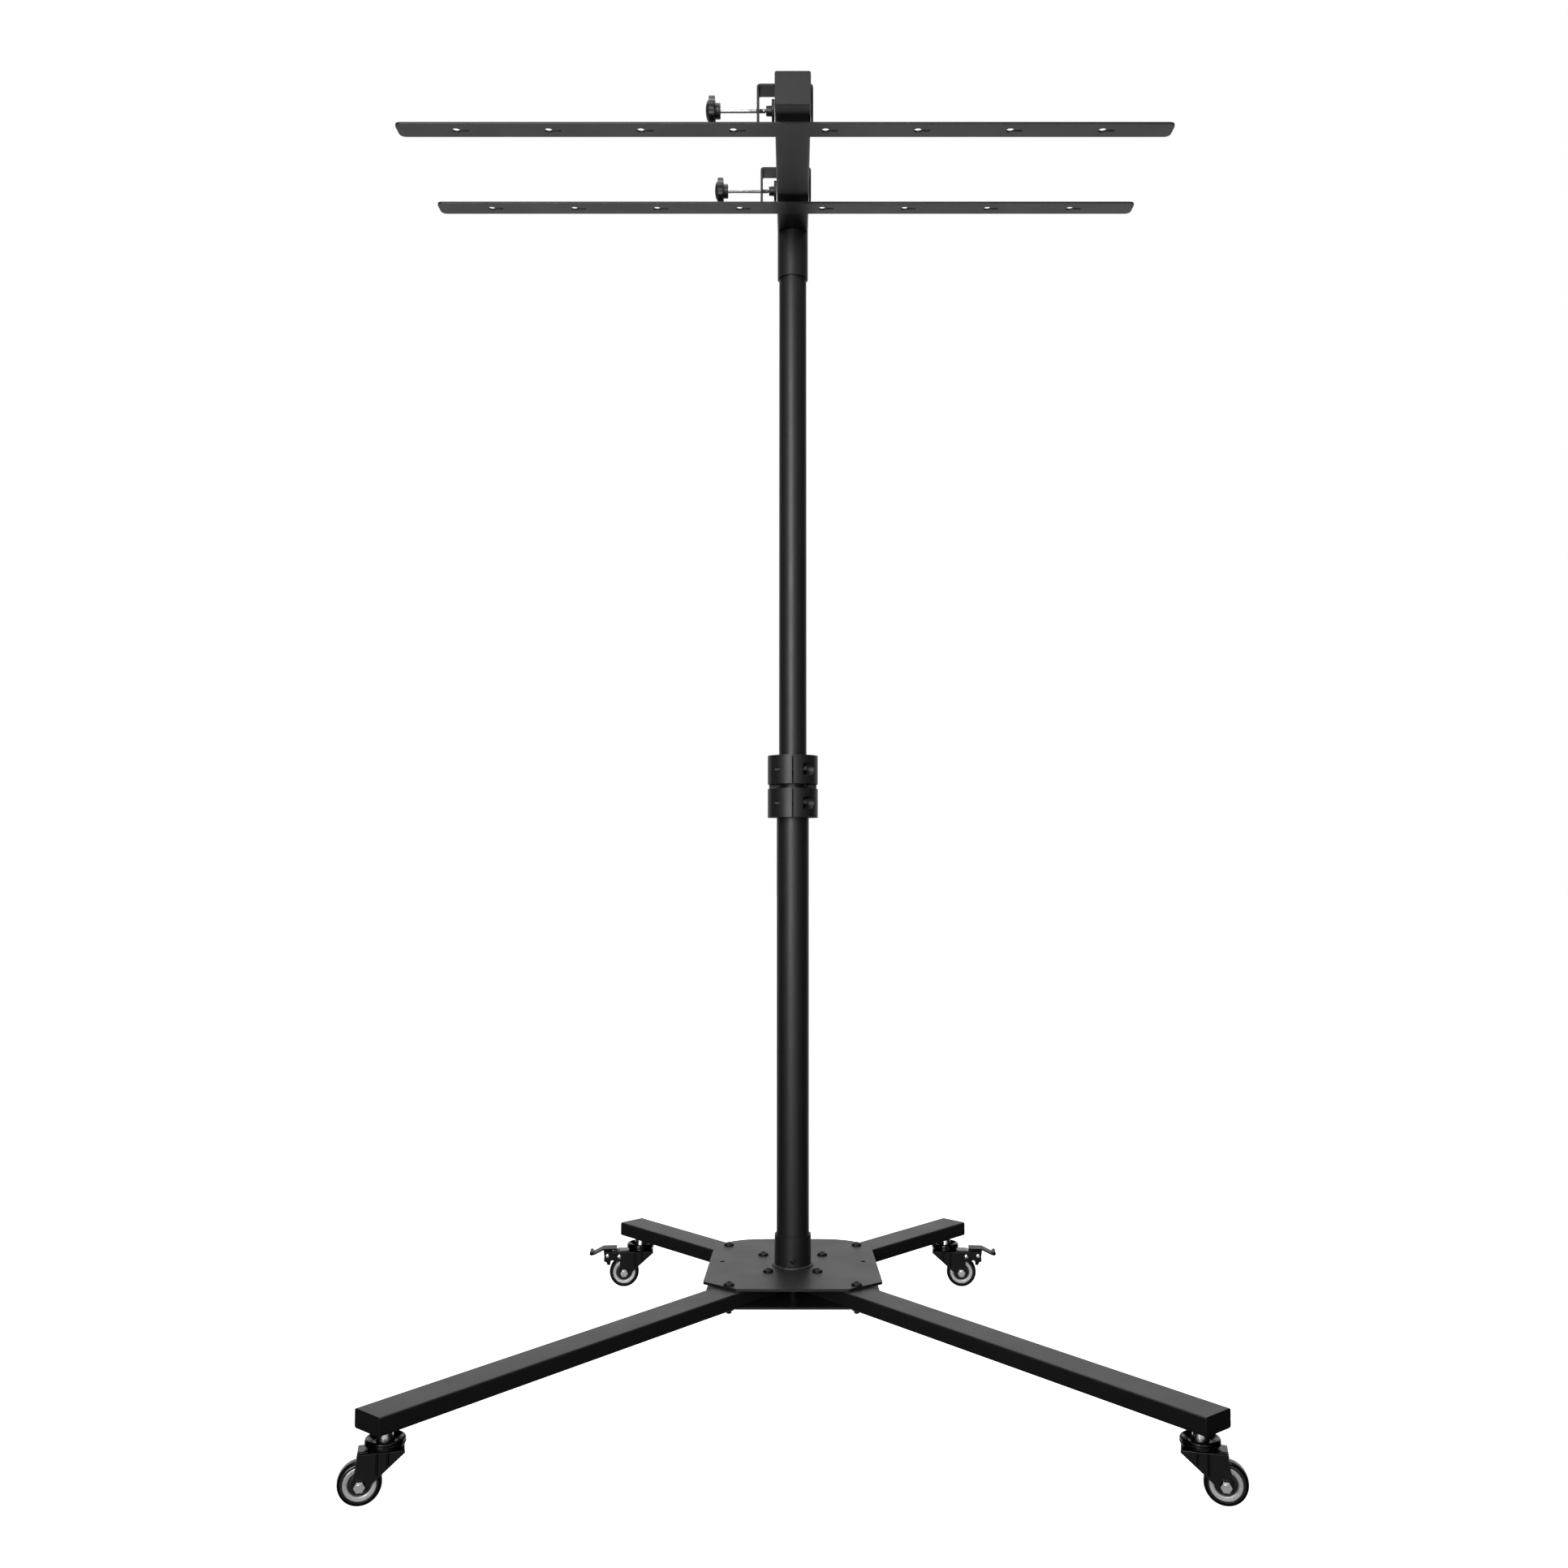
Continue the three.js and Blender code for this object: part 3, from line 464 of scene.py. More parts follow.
# %% Pole socket
SOCKET_TOP = mm_box("pole_socket")[1].z
SOCKET_FOOT = PLATE_TOP + GAP
SOCKET_RADIUS, TUBE_RADIUS = 27.9, (pole_high.x - pole_low.x) / 2 / MM
TUBE_BORE = TUBE_RADIUS + GAP
SET_SCREW_Z = 122.2
socket = turned(
    "socket_tube",
    [(SOCKET_RADIUS, SOCKET_FOOT), (SOCKET_RADIUS, SOCKET_TOP), (TUBE_BORE, SOCKET_TOP),
     (TUBE_BORE, SOCKET_FOOT), (SOCKET_RADIUS, SOCKET_FOOT)],
    96,
)
screw_hole = settle(rod("screw_hole", 4.1, 15, 40), shift(z=SET_SCREW_Z) @ turn(90, "X"))
combined(socket, screw_hole, "DIFFERENCE")
rounded_edges(socket, 0.5)
settle(socket, TO_POLE)
install(socket, "base", POWDER, "black_powder_coat", "pole_socket")
print("socket", round(SOCKET_TOP - SOCKET_FOOT, 1), "mm high")

# %% Weld bead
bpy.ops.object.select_all(action="DESELECT")
bpy.ops.mesh.primitive_torus_add(
    major_radius=(SOCKET_RADIUS + 0.9) * MM, minor_radius=2.9 * MM, major_segments=180, minor_segments=20
)
weld = bpy.context.object
weld.name = weld.data.name = "socket_weld"
lumps = bpy.data.textures.new("weld_lumps", "CLOUDS")
lumps.noise_scale = 5 * MM
applied(weld, "DISPLACE", texture=lumps, strength=1.1 * MM, mid_level=0.5, texture_coords="LOCAL")
cut_off = block("under_plate", (-60, -60, -20), (60, 60, 0))
combined(weld, cut_off, "DIFFERENCE")
settle(weld, shift(POLE.x / MM, POLE.y / MM, SOCKET_FOOT - 0.2))
install(weld, "base", BEAD, "black_powder_coat", smooth=70)
print("weld bead laid")

# %% Socket set screw
GRUB_LENGTH = 3.4
grub = turned(
    "grub_screw", [(0, 0), (3.7, 0), (3.7, -3.0), (3.2, -GRUB_LENGTH), (0, -GRUB_LENGTH)], 40
)
combined(grub, rod("hex_socket", 2.0, -6, -1.6, 6), "DIFFERENCE")
grub_y = mm_box("socket_set_screw")[0].y + GRUB_LENGTH
settle(grub, shift(POLE.x / MM, grub_y, SET_SCREW_Z) @ turn(-90, "X"))
install(grub, "base", OXIDE, "dark_steel", "socket_set_screw")
print("set screw faces the front")


# %% [markdown]
# ## Pole tubes and head sleeve
# A drawn tube is a ring swept straight up. It is turned here with many sides, because a pole shows one long
# soft highlight and any flat would break it.


# %% Tubes
def tube(node, name, wall_mm):
    low, high = mm_box(node)
    radius = (high.x - low.x) / 2
    inner = radius - wall_mm
    piece = turned(
        name,
        [(radius, low.z), (radius, high.z), (inner, high.z), (inner, low.z), (radius, low.z)],
        96,
    )
    rounded_edges(piece, 0.4)
    settle(piece, TO_POLE)
    return install(piece, body_of_node[node], POWDER, "black_powder_coat", node)


tube("lower_tube", "drawn_tube_lower", 1.8)
tube("upper_tube", "drawn_tube_upper", 1.8)
tube("head_sleeve", "drawn_sleeve", 2.2)
print("tubes and sleeve")

# %% [markdown]
# ## Height clamp
# One casting grips both tubes. A slit across it leaves a web behind, so each ring can close by itself, and
# a split down the front is drawn shut by two screws across it. The heads sink into pockets on the right and
# the thread ends show as small holes on the left.

# %% Height clamp
clamp_low, clamp_high = mm_box("height_clamp")
CLAMP_RADIUS = (clamp_high.x - clamp_low.x) / 2
STEP_Z, SLIT_LOW, SLIT_HIGH, SLIT_BACK = 843.0, 838.8, 846.0, 12
SPLIT_HALF = 1.2
UPPER_BORE = 21.5 + GAP
SCREW_Y, SCREW_HEIGHTS, SCREW_WAY = -31.0, (816.5, 868.2), 3.3
POCKET_RADIUS, POCKET_START = 9.8, 15.8
clamp = turned(
    "clamp_casting",
    [(CLAMP_RADIUS, clamp_low.z), (CLAMP_RADIUS, clamp_high.z), (UPPER_BORE, clamp_high.z),
     (UPPER_BORE, STEP_Z), (TUBE_BORE, STEP_Z), (TUBE_BORE, clamp_low.z),
     (CLAMP_RADIUS, clamp_low.z)],
    96,
)
split_low, split_high = (-SPLIT_HALF, -60, clamp_low.z - 5), (SPLIT_HALF, -10, clamp_high.z + 5)
combined(clamp, block("slit", (-60, -60, SLIT_LOW), (60, SLIT_BACK, SLIT_HIGH)), "DIFFERENCE")
combined(clamp, block("split", split_low, split_high), "DIFFERENCE")
for height in SCREW_HEIGHTS:
    across = shift(y=SCREW_Y, z=height) @ turn(90, "Y")
    combined(clamp, settle(rod("screw_way", SCREW_WAY, -45, 12), across), "DIFFERENCE")
    combined(clamp, settle(rod("pocket", POCKET_RADIUS, POCKET_START, 45), across), "DIFFERENCE")
rounded_edges(clamp, 0.4)
settle(clamp, TO_POLE)
install(clamp, "base", POWDER, "black_powder_coat", "height_clamp")
print("clamp", round(clamp_high.z - clamp_low.z, 1), "mm high")

# %% [markdown]
# The clamp screws are socket-head cap screws: a cylinder with a six-sided hole in its end, and a shank that
# crosses the split. Each is turned by itself to its own length.

# %% Clamp screws
for node in ("clamp_screw_lower", "clamp_screw_upper"):
    low, high = mm_box(node)
    height = (low.z + high.z) / 2
    length = high.x - low.x
    cap_screw = turned(
        f"cap_{node}", [(0, 0), (5.0, 0), (5.0, -5.0), (3.0, -5.0), (3.0, -length), (0, -length)], 40
    )
    combined(cap_screw, rod("hex_socket", 2.9, -3, 3, 6), "DIFFERENCE")
    rounded_edges(cap_screw, 0.3, segments=2, angle=50)
    settle(cap_screw, shift(high.x, (low.y + high.y) / 2, height) @ turn(90, "Y"))
    install(cap_screw, "base", OXIDE, "dark_steel", node)
print("two cap screws")

# %% [markdown]
# ## Arm, end cap and brackets
# The arm is square tube with a pressed cap, and each strap is one flat bar bent into a U, so all three
# are already the right shape and only need their edges broken.

# %% Arm and straps
dressed_copy("arm", "square_arm", 0.5)
dressed_copy("arm_end_cap", "pressed_cap", 0.6)
for place in ("upper", "lower"):
    dressed_copy(f"{place}_strap", f"bent_strap_{place}", 0.5)
print("arm, cap and two straps")


# %% [markdown]
# ## Crossbars
# Each crossbar is flat bar with rounded corners and a row of keyholes. A keyhole is punched: a round hole
# that a hook's head passes through, and a slot beside it that holds the shank. A cutter is made for each
# hole, from a rod and a round-ended block, and set in its place along the bar.


# %% Crossbars
KEYHOLE_RADIUS, SLOT_HALF, SLOT_END = 5.5, 2.45, 17.2
KEYHOLE_COUNT, KEYHOLE_PITCH, KEYHOLE_SHIFT = 8, 125, -7.6
BAR_CORNER = 8


def keyhole_cutter(x):
    hole = rod("keyhole", KEYHOLE_RADIUS, -5, 8, 40)
    combined(hole, block("slot", (0, -SLOT_HALF, -5), (SLOT_END - SLOT_HALF, SLOT_HALF, 8)), "UNION")
    combined(hole, settle(rod("slot_end", SLOT_HALF, -5, 8, 24), shift(SLOT_END - SLOT_HALF)), "UNION")
    return settle(hole, shift(x))


for place in ("upper", "lower"):
    low, high = mm_box(f"{place}_crossbar")
    x_centre, y_centre = (high.x - low.x) / 2 - BAR_CORNER, (high.y - low.y) / 2 - BAR_CORNER
    outline = [
        *arc(x_centre, y_centre, BAR_CORNER, 0, 90, 6),
        *arc(-x_centre, y_centre, BAR_CORNER, 90, 180, 6),
        *arc(-x_centre, -y_centre, BAR_CORNER, 180, 270, 6),
        *arc(x_centre, -y_centre, BAR_CORNER, 270, 360, 6),
    ]
    bar = plate(f"flat_bar_{place}", outline, high.z - low.z)
    for i in range(KEYHOLE_COUNT):
        x = (i - (KEYHOLE_COUNT - 1) / 2) * KEYHOLE_PITCH + KEYHOLE_SHIFT
        combined(bar, keyhole_cutter(x), "DIFFERENCE")
    rounded_edges(bar, 0.4, segments=2)
    settle(bar, shift((low.x + high.x) / 2, (low.y + high.y) / 2, low.z))
    install(bar, f"{place}_bracket", POWDER, "black_powder_coat", f"{place}_crossbar")
print("two crossbars of", KEYHOLE_COUNT, "keyholes")


# %% [markdown]
# ## Clamp screws, pads and star knobs
# The long screw has a plain zinc shank under the knob and a thread towards the pad. Its thread is drawn as
# a row of ridges, which reads as a thread from any distance. The knob is moulded over the screw's end: seven
# lobes, a low dome on the back and a hub in front.


# %% Screws, pads and knobs
def along_screw(place):
    low, high = mm_box(f"{place}_clamp_screw")
    return shift(0, (low.y + high.y) / 2, (low.z + high.z) / 2) @ turn(90, "Y")


THREAD_PITCH, THREAD_DEPTH = 1.25, 0.5
for place, plain_length in (("upper", 52), ("lower", 14)):
    low, high = mm_box(f"{place}_clamp_screw")
    radius = (high.z - low.z) / 2
    ridges = []
    height = low.x + plain_length
    while height < high.x - 6:
        ridges += [(radius - THREAD_DEPTH, height), (radius, height + THREAD_PITCH / 2)]
        height += THREAD_PITCH
    screw = turned(
        f"long_screw_{place}",
        [(0, low.x), (radius, low.x), (radius, low.x + plain_length - 0.5), *ridges,
         (2.0, high.x - 4.6), (2.0, high.x), (0, high.x)],
        32,
    )
    settle(screw, along_screw(place))
    install(screw, f"{place}_screw", ZINC, "zinc_steel", f"{place}_clamp_screw", smooth=50)
    low, high = mm_box(f"{place}_swivel_pad")
    pad = turned(
        f"pressure_pad_{place}",
        [(0, low.x + 4.3), (2.3, low.x + 4.3), (2.3, low.x), (6.5, low.x), (7.0, high.x - 3.6),
         ((high.z - low.z) / 2, high.x - 3.6), ((high.z - low.z) / 2, high.x), (0, high.x)],
        64,
    )
    rounded_edges(pad, 0.5)
    settle(pad, along_screw(place))
    install(pad, f"{place}_pad", NYLON, "black_plastic", f"{place}_swivel_pad")
print("screws and pads")

# %% Star knobs
KNOB_RADIUS, LOBES, LOBE_DEPTH = 19.5, 7, 1.5
STEPS_PER_LOBE, LOBE_THICKNESS, LOBE_START = 14, 8.5, 4.5
DOME_RADIUS, DOME_HEIGHT, DOME_STEPS = 14.5, 5, 10
for place in ("upper", "lower"):
    low, high = mm_box(f"{place}_star_knob")
    back = low.x
    steps = LOBES * STEPS_PER_LOBE
    star = [
        (
            (KNOB_RADIUS - LOBE_DEPTH * (1 - math.cos(LOBES * a))) * math.cos(a),
            (KNOB_RADIUS - LOBE_DEPTH * (1 - math.cos(LOBES * a))) * math.sin(a),
        )
        for a in [2 * math.pi * i / steps for i in range(steps)]
    ]
    knob = settle(plate(f"star_knob_{place}", star, LOBE_THICKNESS), shift(z=back + LOBE_START))
    rounded_edges(knob, 1.0)
    dome_arc = [
        (DOME_RADIUS * math.sin(a), back + DOME_HEIGHT - DOME_HEIGHT * math.cos(a))
        for a in [i * math.pi / 2 / DOME_STEPS for i in range(1, DOME_STEPS + 1)]
    ]
    core = turned(
        "knob_core",
        [(0, back), *dome_arc, (12.5, back + 12), (10.5, back + 13), (10.5, high.x - 0.6),
         (9.9, high.x), (0, high.x)],
        64,
    )
    combined(knob, core, "UNION")
    combined(knob, rod("screw_way", 3.5, back + 8.2, high.x + 3), "DIFFERENCE")
    settle(knob, along_screw(place))
    install(knob, f"{place}_screw", NYLON, "black_plastic", f"{place}_star_knob")
print("two star knobs of", LOBES, "lobes")

# %% [markdown]
# ## Casters
# The four casters are alike, so each piece is modelled once in the caster's own frame, with the swivel axis
# on Z and the wheel out to +X, and copied to its place. That place is read from the joints: the swivel's
# position, and the direction from it to the wheel's axle.

# %% Caster frames
PLACES = ("front_left", "front_right", "rear_left", "rear_right")
caster_frame = {}
for place in PLACES:
    swivel = Vector(joints[f"swivel_{place}"]["pos_m"])
    axle = Vector(joints[f"spin_{place}"]["pos_m"])
    heading = math.atan2(axle.y - swivel.y, axle.x - swivel.x)
    caster_frame[place] = Matrix.Translation((swivel.x, swivel.y, 0)) @ Matrix.Rotation(heading, 4, "Z")
TRAIL, WHEEL_RADIUS = (axle - swivel).xy.length / MM, 25.0
print("trail", round(TRAIL, 1), "mm")


# %% [markdown]
# ### Fork
# The fork is one sheet pressed into a U, so it has round shoulders that catch a bright line. A U-shaped
# section is pulled out along X and crossed with the cheek's outline. Ribs are pressed into each cheek.


# %% Fork
FORK_TOP, FORK_SHEET, FORK_HALF, FORK_FOOT, BEND = 62.0, 2.2, 13.5, 5, 4.0
EYE_RADIUS, AXLE_WAY, STEM_WAY = 7.8, 4.5, 5.2
PIN_X, PIN_Z, PIN_WAY = 55.9, 53.4, 2.5
RIBS = ((-3, 16), (9, 26))  # each rib's place along X and its depth


def cross_rod(name, radius_mm, reach_mm, x, z):
    """A rod that runs from side to side through the caster."""
    return settle(rod(name, radius_mm, -reach_mm, reach_mm), shift(x, 0, z) @ turn(90, "X"))


def cheek_outline(braked):
    eye = arc(TRAIL, WHEEL_RADIUS, EYE_RADIUS, 225, 375, 10)
    ear = [(TRAIL + 7, 45), (52.5, 46.5), (56, 43.5), (62, 44.5), (61.5, 57.5), (59, 59.5), (40, 61)]
    neck = ear if braked else []
    return [(-21, FORK_TOP + 1), (-22, FORK_TOP - 4.5), *eye, *neck, (29.5, FORK_TOP + 1)]


def fork(name, braked):
    bend_y, bend_z, inner = FORK_HALF - BEND, FORK_TOP - BEND, BEND - FORK_SHEET
    section = [
        (-FORK_HALF, FORK_FOOT), *arc(-bend_y, bend_z, BEND, 180, 90, 8),
        *arc(bend_y, bend_z, BEND, 90, 0, 8), (FORK_HALF, FORK_FOOT),
        (FORK_HALF - FORK_SHEET, FORK_FOOT), *arc(bend_y, bend_z, inner, 0, 90, 8),
        *arc(-bend_y, bend_z, inner, 90, 180, 8), (-FORK_HALF + FORK_SHEET, FORK_FOOT),
    ]
    piece = plate(name, section, 100)
    settle(piece, shift(-30) @ Matrix(((0, 0, 1, 0), (1, 0, 0, 0), (0, 1, 0, 0), (0, 0, 0, 1))))
    silhouette = settle(plate("silhouette", cheek_outline(braked), 60), shift(y=30) @ turn(90, "X"))
    combined(piece, silhouette, "INTERSECT")
    for x, depth in RIBS:
        for side in (-1, 1):
            rib = turned("rib", [(0, 0), (1.5, 1.5), (1.5, depth - 1.5), (0, depth)], 20)
            settle(rib, shift(x, side * (FORK_HALF - 0.5), FORK_TOP - BEND - depth + 2))
            combined(piece, rib, "UNION")
    combined(piece, cross_rod("axle_way", AXLE_WAY, 20, TRAIL, WHEEL_RADIUS), "DIFFERENCE")
    combined(piece, rod("stem_way", STEM_WAY, 50, 70), "DIFFERENCE")
    if braked:
        combined(piece, cross_rod("pin_way", PIN_WAY, 20, PIN_X, PIN_Z), "DIFFERENCE")
    return rounded_edges(piece, 0.3, segments=2, angle=50)


fork_patterns = {False: fork("plain_fork", False), True: fork("braked_fork", True)}
for place in PLACES:
    piece = copied(fork_patterns[place.startswith("rear")], f"pressed_fork_{place}")
    settle(piece, caster_frame[place])
    install(piece, f"fork_{place}", LACQUER, "gloss_black_steel", f"caster_fork_{place}", smooth=50)
discard(*fork_patterns.values())
print("four forks")

# %% [markdown]
# ### Swivel race and stem
# The race is a dish of pressed rings that holds two rows of balls, and the stem's tapered collar stands in
# the middle of it. The stacked rings are drawn in the race's own profile.

# %% Race and stem
RACE_RADIUS, RACE_TOP = 23.2, 73.0
race = turned(
    "race_pattern",
    [(5.2, FORK_TOP + 0.2), (19.5, FORK_TOP + 0.2), (20.5, FORK_TOP + 1.6), (20.0, FORK_TOP + 3.2),
     (RACE_RADIUS, FORK_TOP + 4.2), (RACE_RADIUS, FORK_TOP + 6.0), (RACE_RADIUS - 1.2, FORK_TOP + 6.8),
     (RACE_RADIUS, FORK_TOP + 7.6), (RACE_RADIUS - 0.6, RACE_TOP - 1.2), (RACE_RADIUS - 2.6, RACE_TOP),
     (RACE_RADIUS - 4.2, RACE_TOP - 0.8), (15.5, FORK_TOP + 7), (13.5, FORK_TOP + 5.2), (5.2, FORK_TOP + 5.2),
     (5.2, FORK_TOP + 0.2)],
    72,
)
rounded_edges(race, 0.5, angle=25)
stem_low, stem_high = mm_box("caster_stem_front_left")
COLLAR_TOP = mm_box("leg_front_left")[0].z - GAP
stem = turned(
    "stem_pattern",
    [(0, stem_low.z), (6.5, stem_low.z), (7.5, stem_low.z + 1), (7.5, FORK_TOP - 2.5), (4.9, FORK_TOP - 2.5),
     (4.9, stem_high.z), (0, stem_high.z)],
    48,
)
collar = turned(
    "collar",
    [(0, FORK_TOP + 5.4), (10.6, FORK_TOP + 5.4), (10.6, FORK_TOP + 7), (7.8, COLLAR_TOP),
     (0, COLLAR_TOP)],
    48,
)
rounded_edges(collar, 0.6)
combined(stem, collar, "UNION")
for place in PLACES:
    piece = settle(copied(race, f"swivel_race_{place}"), caster_frame[place])
    install(piece, f"fork_{place}", LACQUER, "gloss_black_steel", smooth=50)
    piece = settle(copied(stem, f"swivel_stem_{place}"), caster_frame[place])
    install(piece, "base", ZINC, "zinc_steel", f"caster_stem_{place}")
discard(race, stem)
print("races and stems")

# %% [markdown]
# ### Wheel
# The tread is poured round a black core, and a satin metal ring is let into each face. Each is turned by
# itself, so the ring's crisp inner and outer lines come from real edges.

# %% Wheels and axles
tread = turned(
    "tread_pattern",
    [(19.3, -9), (21.2, -9), (23.2, -7.9), (24.5, -5.8), (25, -3), (25, 3), (24.5, 5.8), (23.2, 7.9),
     (21.2, 9), (19.3, 9), (19.3, -9)],
    96,
)
rounded_edges(tread, 0.4, angle=60)
core = turned(
    "core_pattern",
    [(4.3, -10.6), (7.4, -10.6), (8.2, -10), (9, -6), (12.6, -5.4), (12.6, 5.4), (9, 6), (8.2, 10),
     (7.4, 10.6), (4.3, 10.6), (4.3, -10.6)],
    72,
)
ring = turned(
    "ring_pattern",
    [(12.7, -7.4), (14, -8.3), (18.2, -8.6), (19.1, -8.0), (19.1, 8.0), (18.2, 8.6), (14, 8.3),
     (12.7, 7.4), (12.7, -7.4)],
    96,
)
rounded_edges(ring, 0.3, segments=2, angle=25)
half = FORK_HALF + GAP
LOCK_NUT_ACROSS_FLATS, LOCK_NUT_HEIGHT = 12, 4.2
axle_bolt = turned(
    "axle_pattern",
    [(0, -half - 4.2), (1.6, -half - 4.1), (2.0, -half - 3.5), (3.0, -half - 3.5), (3.9, -half - 3.0),
     (5.4, -half - 1.6), (6.2, -half), (4, -half), (4, half + 5.2), (0, half + 5.2)],
    48,
)
lock_nut = rod("lock_nut", LOCK_NUT_ACROSS_FLATS / math.sqrt(3), half, half + LOCK_NUT_HEIGHT, 6)
rounded_edges(lock_nut, 0.6)
combined(axle_bolt, lock_nut, "UNION")
to_axle = shift(TRAIL, 0, WHEEL_RADIUS) @ turn(90, "X")
for place in PLACES:
    for pattern, kind, finish, slot in (
        (tread, "tread", TREAD, "tyre_black"),
        (core, "hub", NYLON, "wheel_core_plastic"),
        (ring, "ring", RING, "wheel_core_plastic"),
    ):
        piece = settle(copied(pattern, f"wheel_{kind}_{place}"), caster_frame[place] @ to_axle)
        stands_for = {"tread": [f"wheel_tyre_{place}"], "hub": [f"wheel_core_{place}"], "ring": []}[kind]
        install(piece, f"wheel_{place}", finish, slot, *stands_for)
    turned_round = turn(180, "X") if place.endswith("left") else Matrix.Identity(4)
    piece = settle(copied(axle_bolt, f"axle_bolt_{place}"), caster_frame[place] @ to_axle @ turned_round)
    install(piece, f"fork_{place}", ZINC, "zinc_steel", f"caster_axle_{place}")
discard(tread, core, ring, axle_bolt)
print("four wheels")

# %% [markdown]
# ### Brakes
# Each rear fork carries a pedal on a pin. The pedal is a bent strip with a curled tip, and two rivets with
# bright domed heads cross the fork: one is the pedal's pivot and the other ties the cheeks together.


# %% Brakes
RIVET_HEAD_RADIUS, RIVET_HEAD_HEIGHT, RIVET_SHANK = 4.2, 1.6, 2.2
CHEEK_RIVET_X, CHEEK_RIVET_Z = 35.8, 52
PEDAL_HALF = 12.5
PEDAL_STRIP = [
    (40, 63.5), (62, 63.5), (71, 59.4), (78, 55.8), (82, 55.2), (85.6, 57.6), (85.2, 59.8), (83, 59.3),
    (81.4, 57.8), (79, 58.2), (72, 61.7), (63, 66), (40, 66),
]
PEDAL_FLANGE = [(49, 65), (51, 38), (56, 38), (61.5, 50), (63, 64)]


def rivet(name, x, z):
    reach = FORK_HALF + GAP
    head = [
        (RIVET_HEAD_RADIUS * math.cos(a), RIVET_HEAD_HEIGHT * math.sin(a))
        for a in [i * math.pi / 12 for i in range(6)]
    ]
    piece = turned(
        name,
        [(0, -reach - RIVET_HEAD_HEIGHT), *[(r, -reach - h) for r, h in reversed(head)],
         (RIVET_SHANK, -reach), (RIVET_SHANK, reach),
         *[(r, reach + h) for r, h in head], (0, reach + RIVET_HEAD_HEIGHT)],
        40,
    )
    return settle(piece, shift(x, 0, z) @ turn(90, "X"))


def pedal(name):
    piece = settle(plate(name, PEDAL_STRIP, 2 * PEDAL_HALF), shift(y=PEDAL_HALF) @ turn(90, "X"))
    rounded_edges(piece, 0.8, angle=30)
    combined(piece, cross_rod("curl", 3.1, PEDAL_HALF, 83.2, 58.1), "UNION")
    for start in (-8.3, 10.3):
        flange = settle(plate("flange", PEDAL_FLANGE, 2), shift(y=start) @ turn(90, "X"))
        combined(piece, flange, "UNION")
    combined(piece, block("foot", (52, -9.3, 38), (56, 9.3, 44)), "UNION")
    combined(piece, cross_rod("pin_way", PIN_WAY, 20, PIN_X, PIN_Z), "DIFFERENCE")
    return piece


for side in ("left", "right"):
    place = f"rear_{side}"
    piece = settle(pedal(f"bent_pedal_{side}"), caster_frame[place])
    install(piece, f"pedal_{side}", PEDAL_COAT, "gloss_black_steel", f"brake_pedal_{side}", smooth=50)
    piece = settle(rivet(f"pedal_rivet_{side}", PIN_X, PIN_Z), caster_frame[place])
    install(piece, f"fork_{place}", ZINC, "zinc_steel", f"brake_pin_{side}")
    piece = settle(rivet(f"cheek_rivet_{side}", CHEEK_RIVET_X, CHEEK_RIVET_Z), caster_frame[place])
    install(piece, f"fork_{place}", ZINC, "zinc_steel")
print("two brakes")

# %% [markdown]
# ## Floor and light
# The stand is shown on plain white. Black paint shows mostly what it mirrors, so the surroundings do most
# of the work: a white backdrop behind the stand, which the plate's top and the bars' undersides mirror at a
# shallow angle, a black band at the sides, above and below, which keeps the legs' sides dark, and a dim glow
# in front for the metal. The floor is seen but doesn't light anything.

# %% Floor
bpy.ops.object.select_all(action="DESELECT")
bpy.ops.mesh.primitive_plane_add(size=60, location=(0, 0, 0))
floor = bpy.context.object
floor.name = "floor"
paper, paper_shader = new_material("white_paper", Base_Color=linear("#ffffff"), Roughness=1.0)
paper_shader.inputs["Emission Color"].default_value = linear("#ffffff")
paper_shader.inputs["Emission Strength"].default_value = 1.0
floor.data.materials.append(paper)
floor.visible_diffuse = floor.visible_glossy = False
print("floor laid")

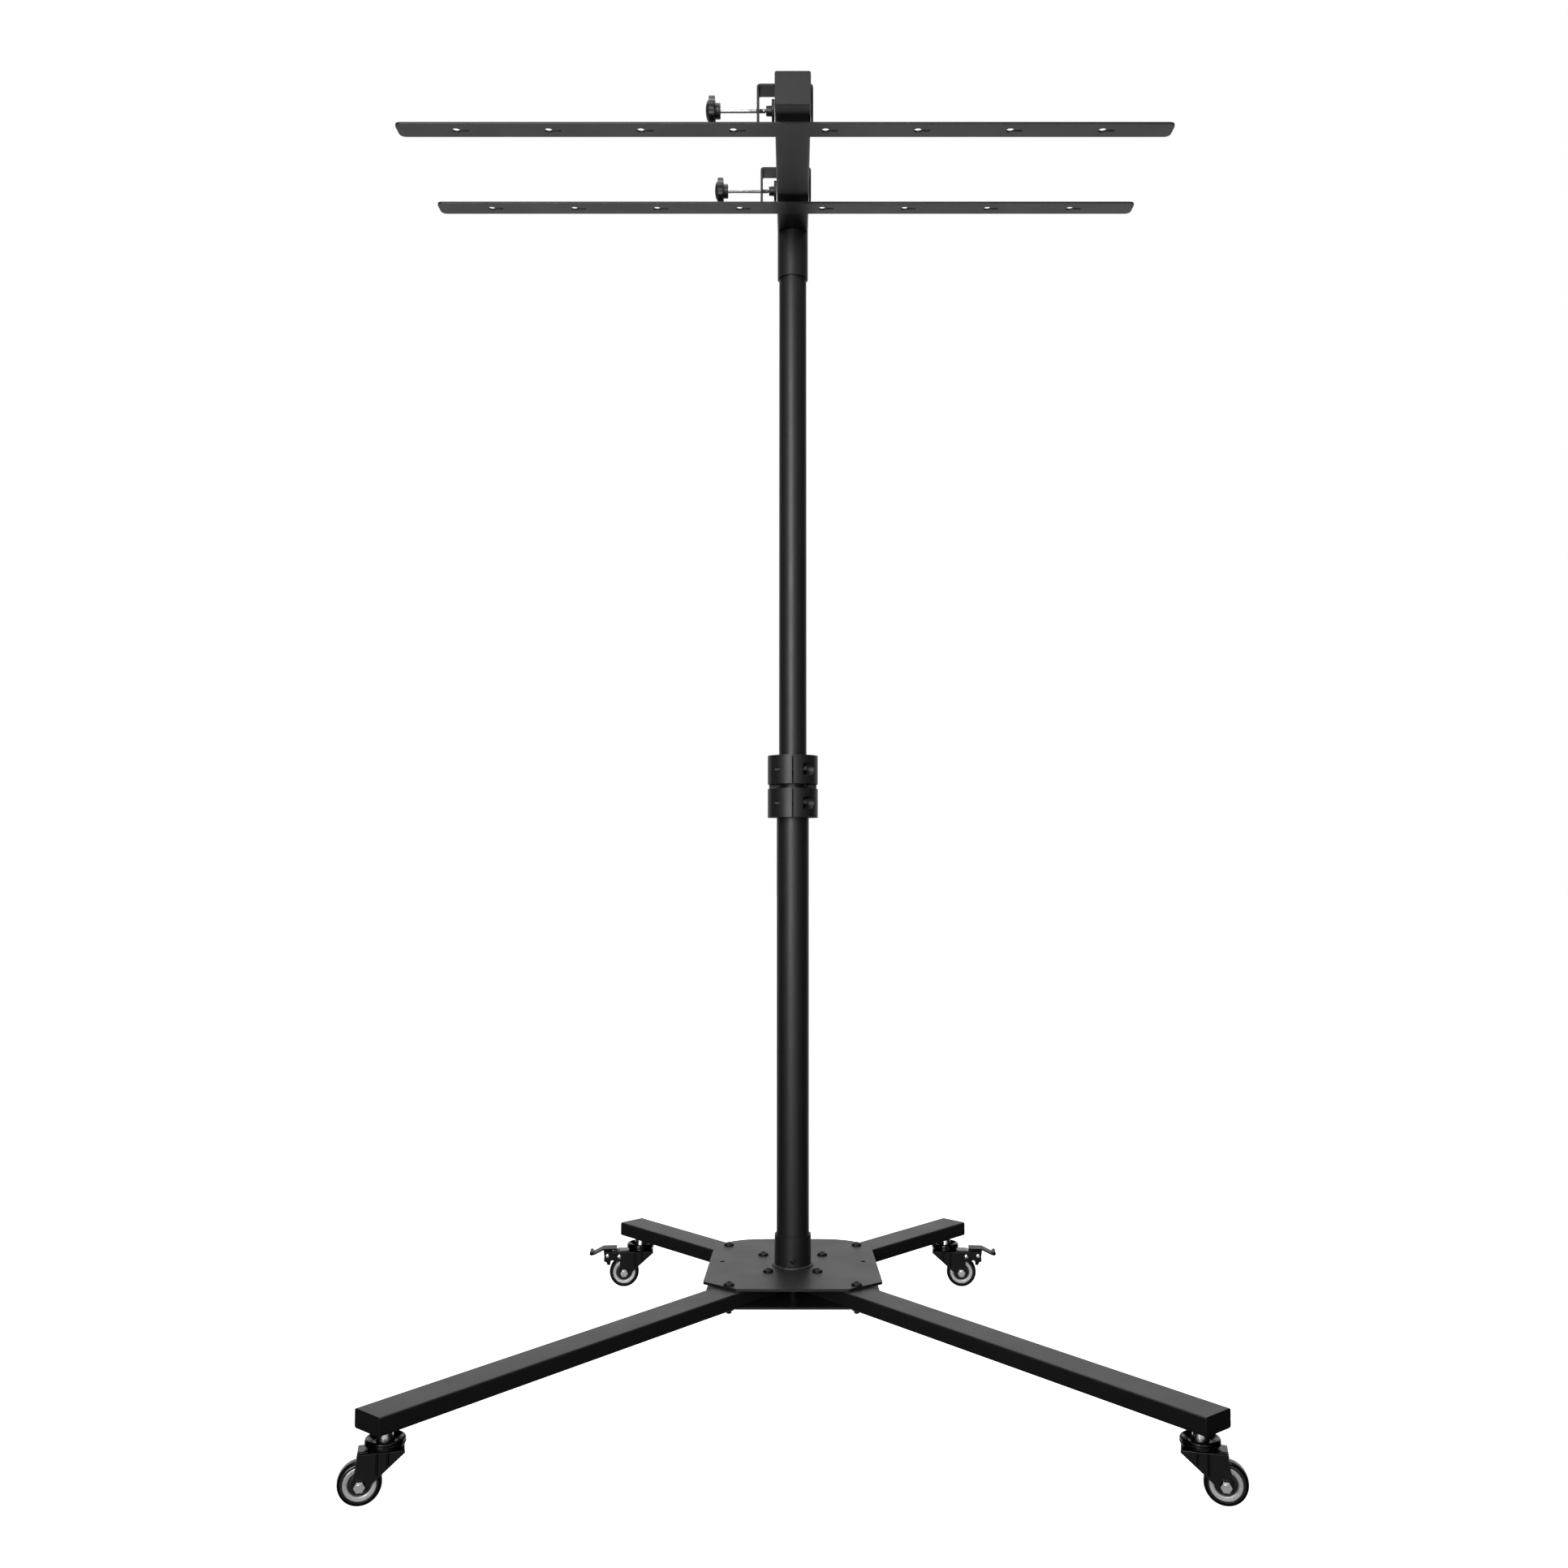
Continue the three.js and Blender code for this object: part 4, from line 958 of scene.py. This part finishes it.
# %% Surroundings
bpy.context.scene.view_settings.view_transform = "Standard"
world = bpy.data.worlds.new("white_studio")
bpy.context.scene.world = world
world.use_nodes = True
toward = add_node(world, "ShaderNodeNewGeometry").outputs["Incoming"]
depth = add_node(world, "ShaderNodeSeparateXYZ", i0=toward).outputs["Y"]
back_to_front = add_node(world, "ShaderNodeMapRange", Value=depth, From_Min=-1.0, From_Max=1.0)
ramp = add_node(world, "ShaderNodeValToRGB", Fac=back_to_front.outputs["Result"])
BACKDROP, FLATS, GLOW = 1.0, 0.008, 0.4
stops = ramp.color_ramp.elements
stops[0].color, stops[1].color = [BACKDROP] * 3 + [1], [GLOW] * 3 + [1]
for position, level in ((0.12, BACKDROP), (0.22, FLATS), (0.875, FLATS), (0.94, GLOW)):
    stops.new(position).color = [level] * 3 + [1]
mirrored = add_node(world, "ShaderNodeBackground", Color=ramp.outputs["Color"])
seen = add_node(world, "ShaderNodeBackground", Color=linear("#ffffff"))
camera_ray = add_node(world, "ShaderNodeLightPath").outputs["Is Camera Ray"]
choose = add_node(
    world, "ShaderNodeMixShader", i0=camera_ray, i1=mirrored.outputs["Background"],
    i2=seen.outputs["Background"],
)
world.node_tree.links.new(choose.outputs["Shader"], world.node_tree.nodes["World Output"].inputs["Surface"])
print("backdrop, flats and glow at", BACKDROP, FLATS, GLOW)

# %% [markdown]
# A wide lamp overhead lights every upward face. A tall lamp in front and to the left draws the highlight down
# the pole, and it throws a narrow beam that passes over the legs. A low lamp points up at the bars.


# %% Lamps
def lamp(name, place, aim, width, height, watts, spread=180):
    data = bpy.data.lights.new(name, "AREA")
    data.shape = "RECTANGLE"
    data.size, data.size_y, data.energy = width, height, watts
    data.spread = math.radians(spread)
    made = bpy.data.objects.new(name, data)
    made.location = place
    made.rotation_euler = (Vector(aim) - Vector(place)).to_track_quat("-Z", "Y").to_euler()
    bpy.context.scene.collection.objects.link(made)


lamp("overhead", (0, 0.2, 3.4), (0, 0.1, 0), 3.0, 3.0, 80)
lamp("tall_front", (-0.8, -2.6, 1.6), (0, 0.15, 1.15), 1.1, 2.0, 10, spread=60)
lamp("low_up", (0, -1.5, 0.45), (0, -0.2, 1.7), 1.6, 0.8, 3)
print("three lamps")
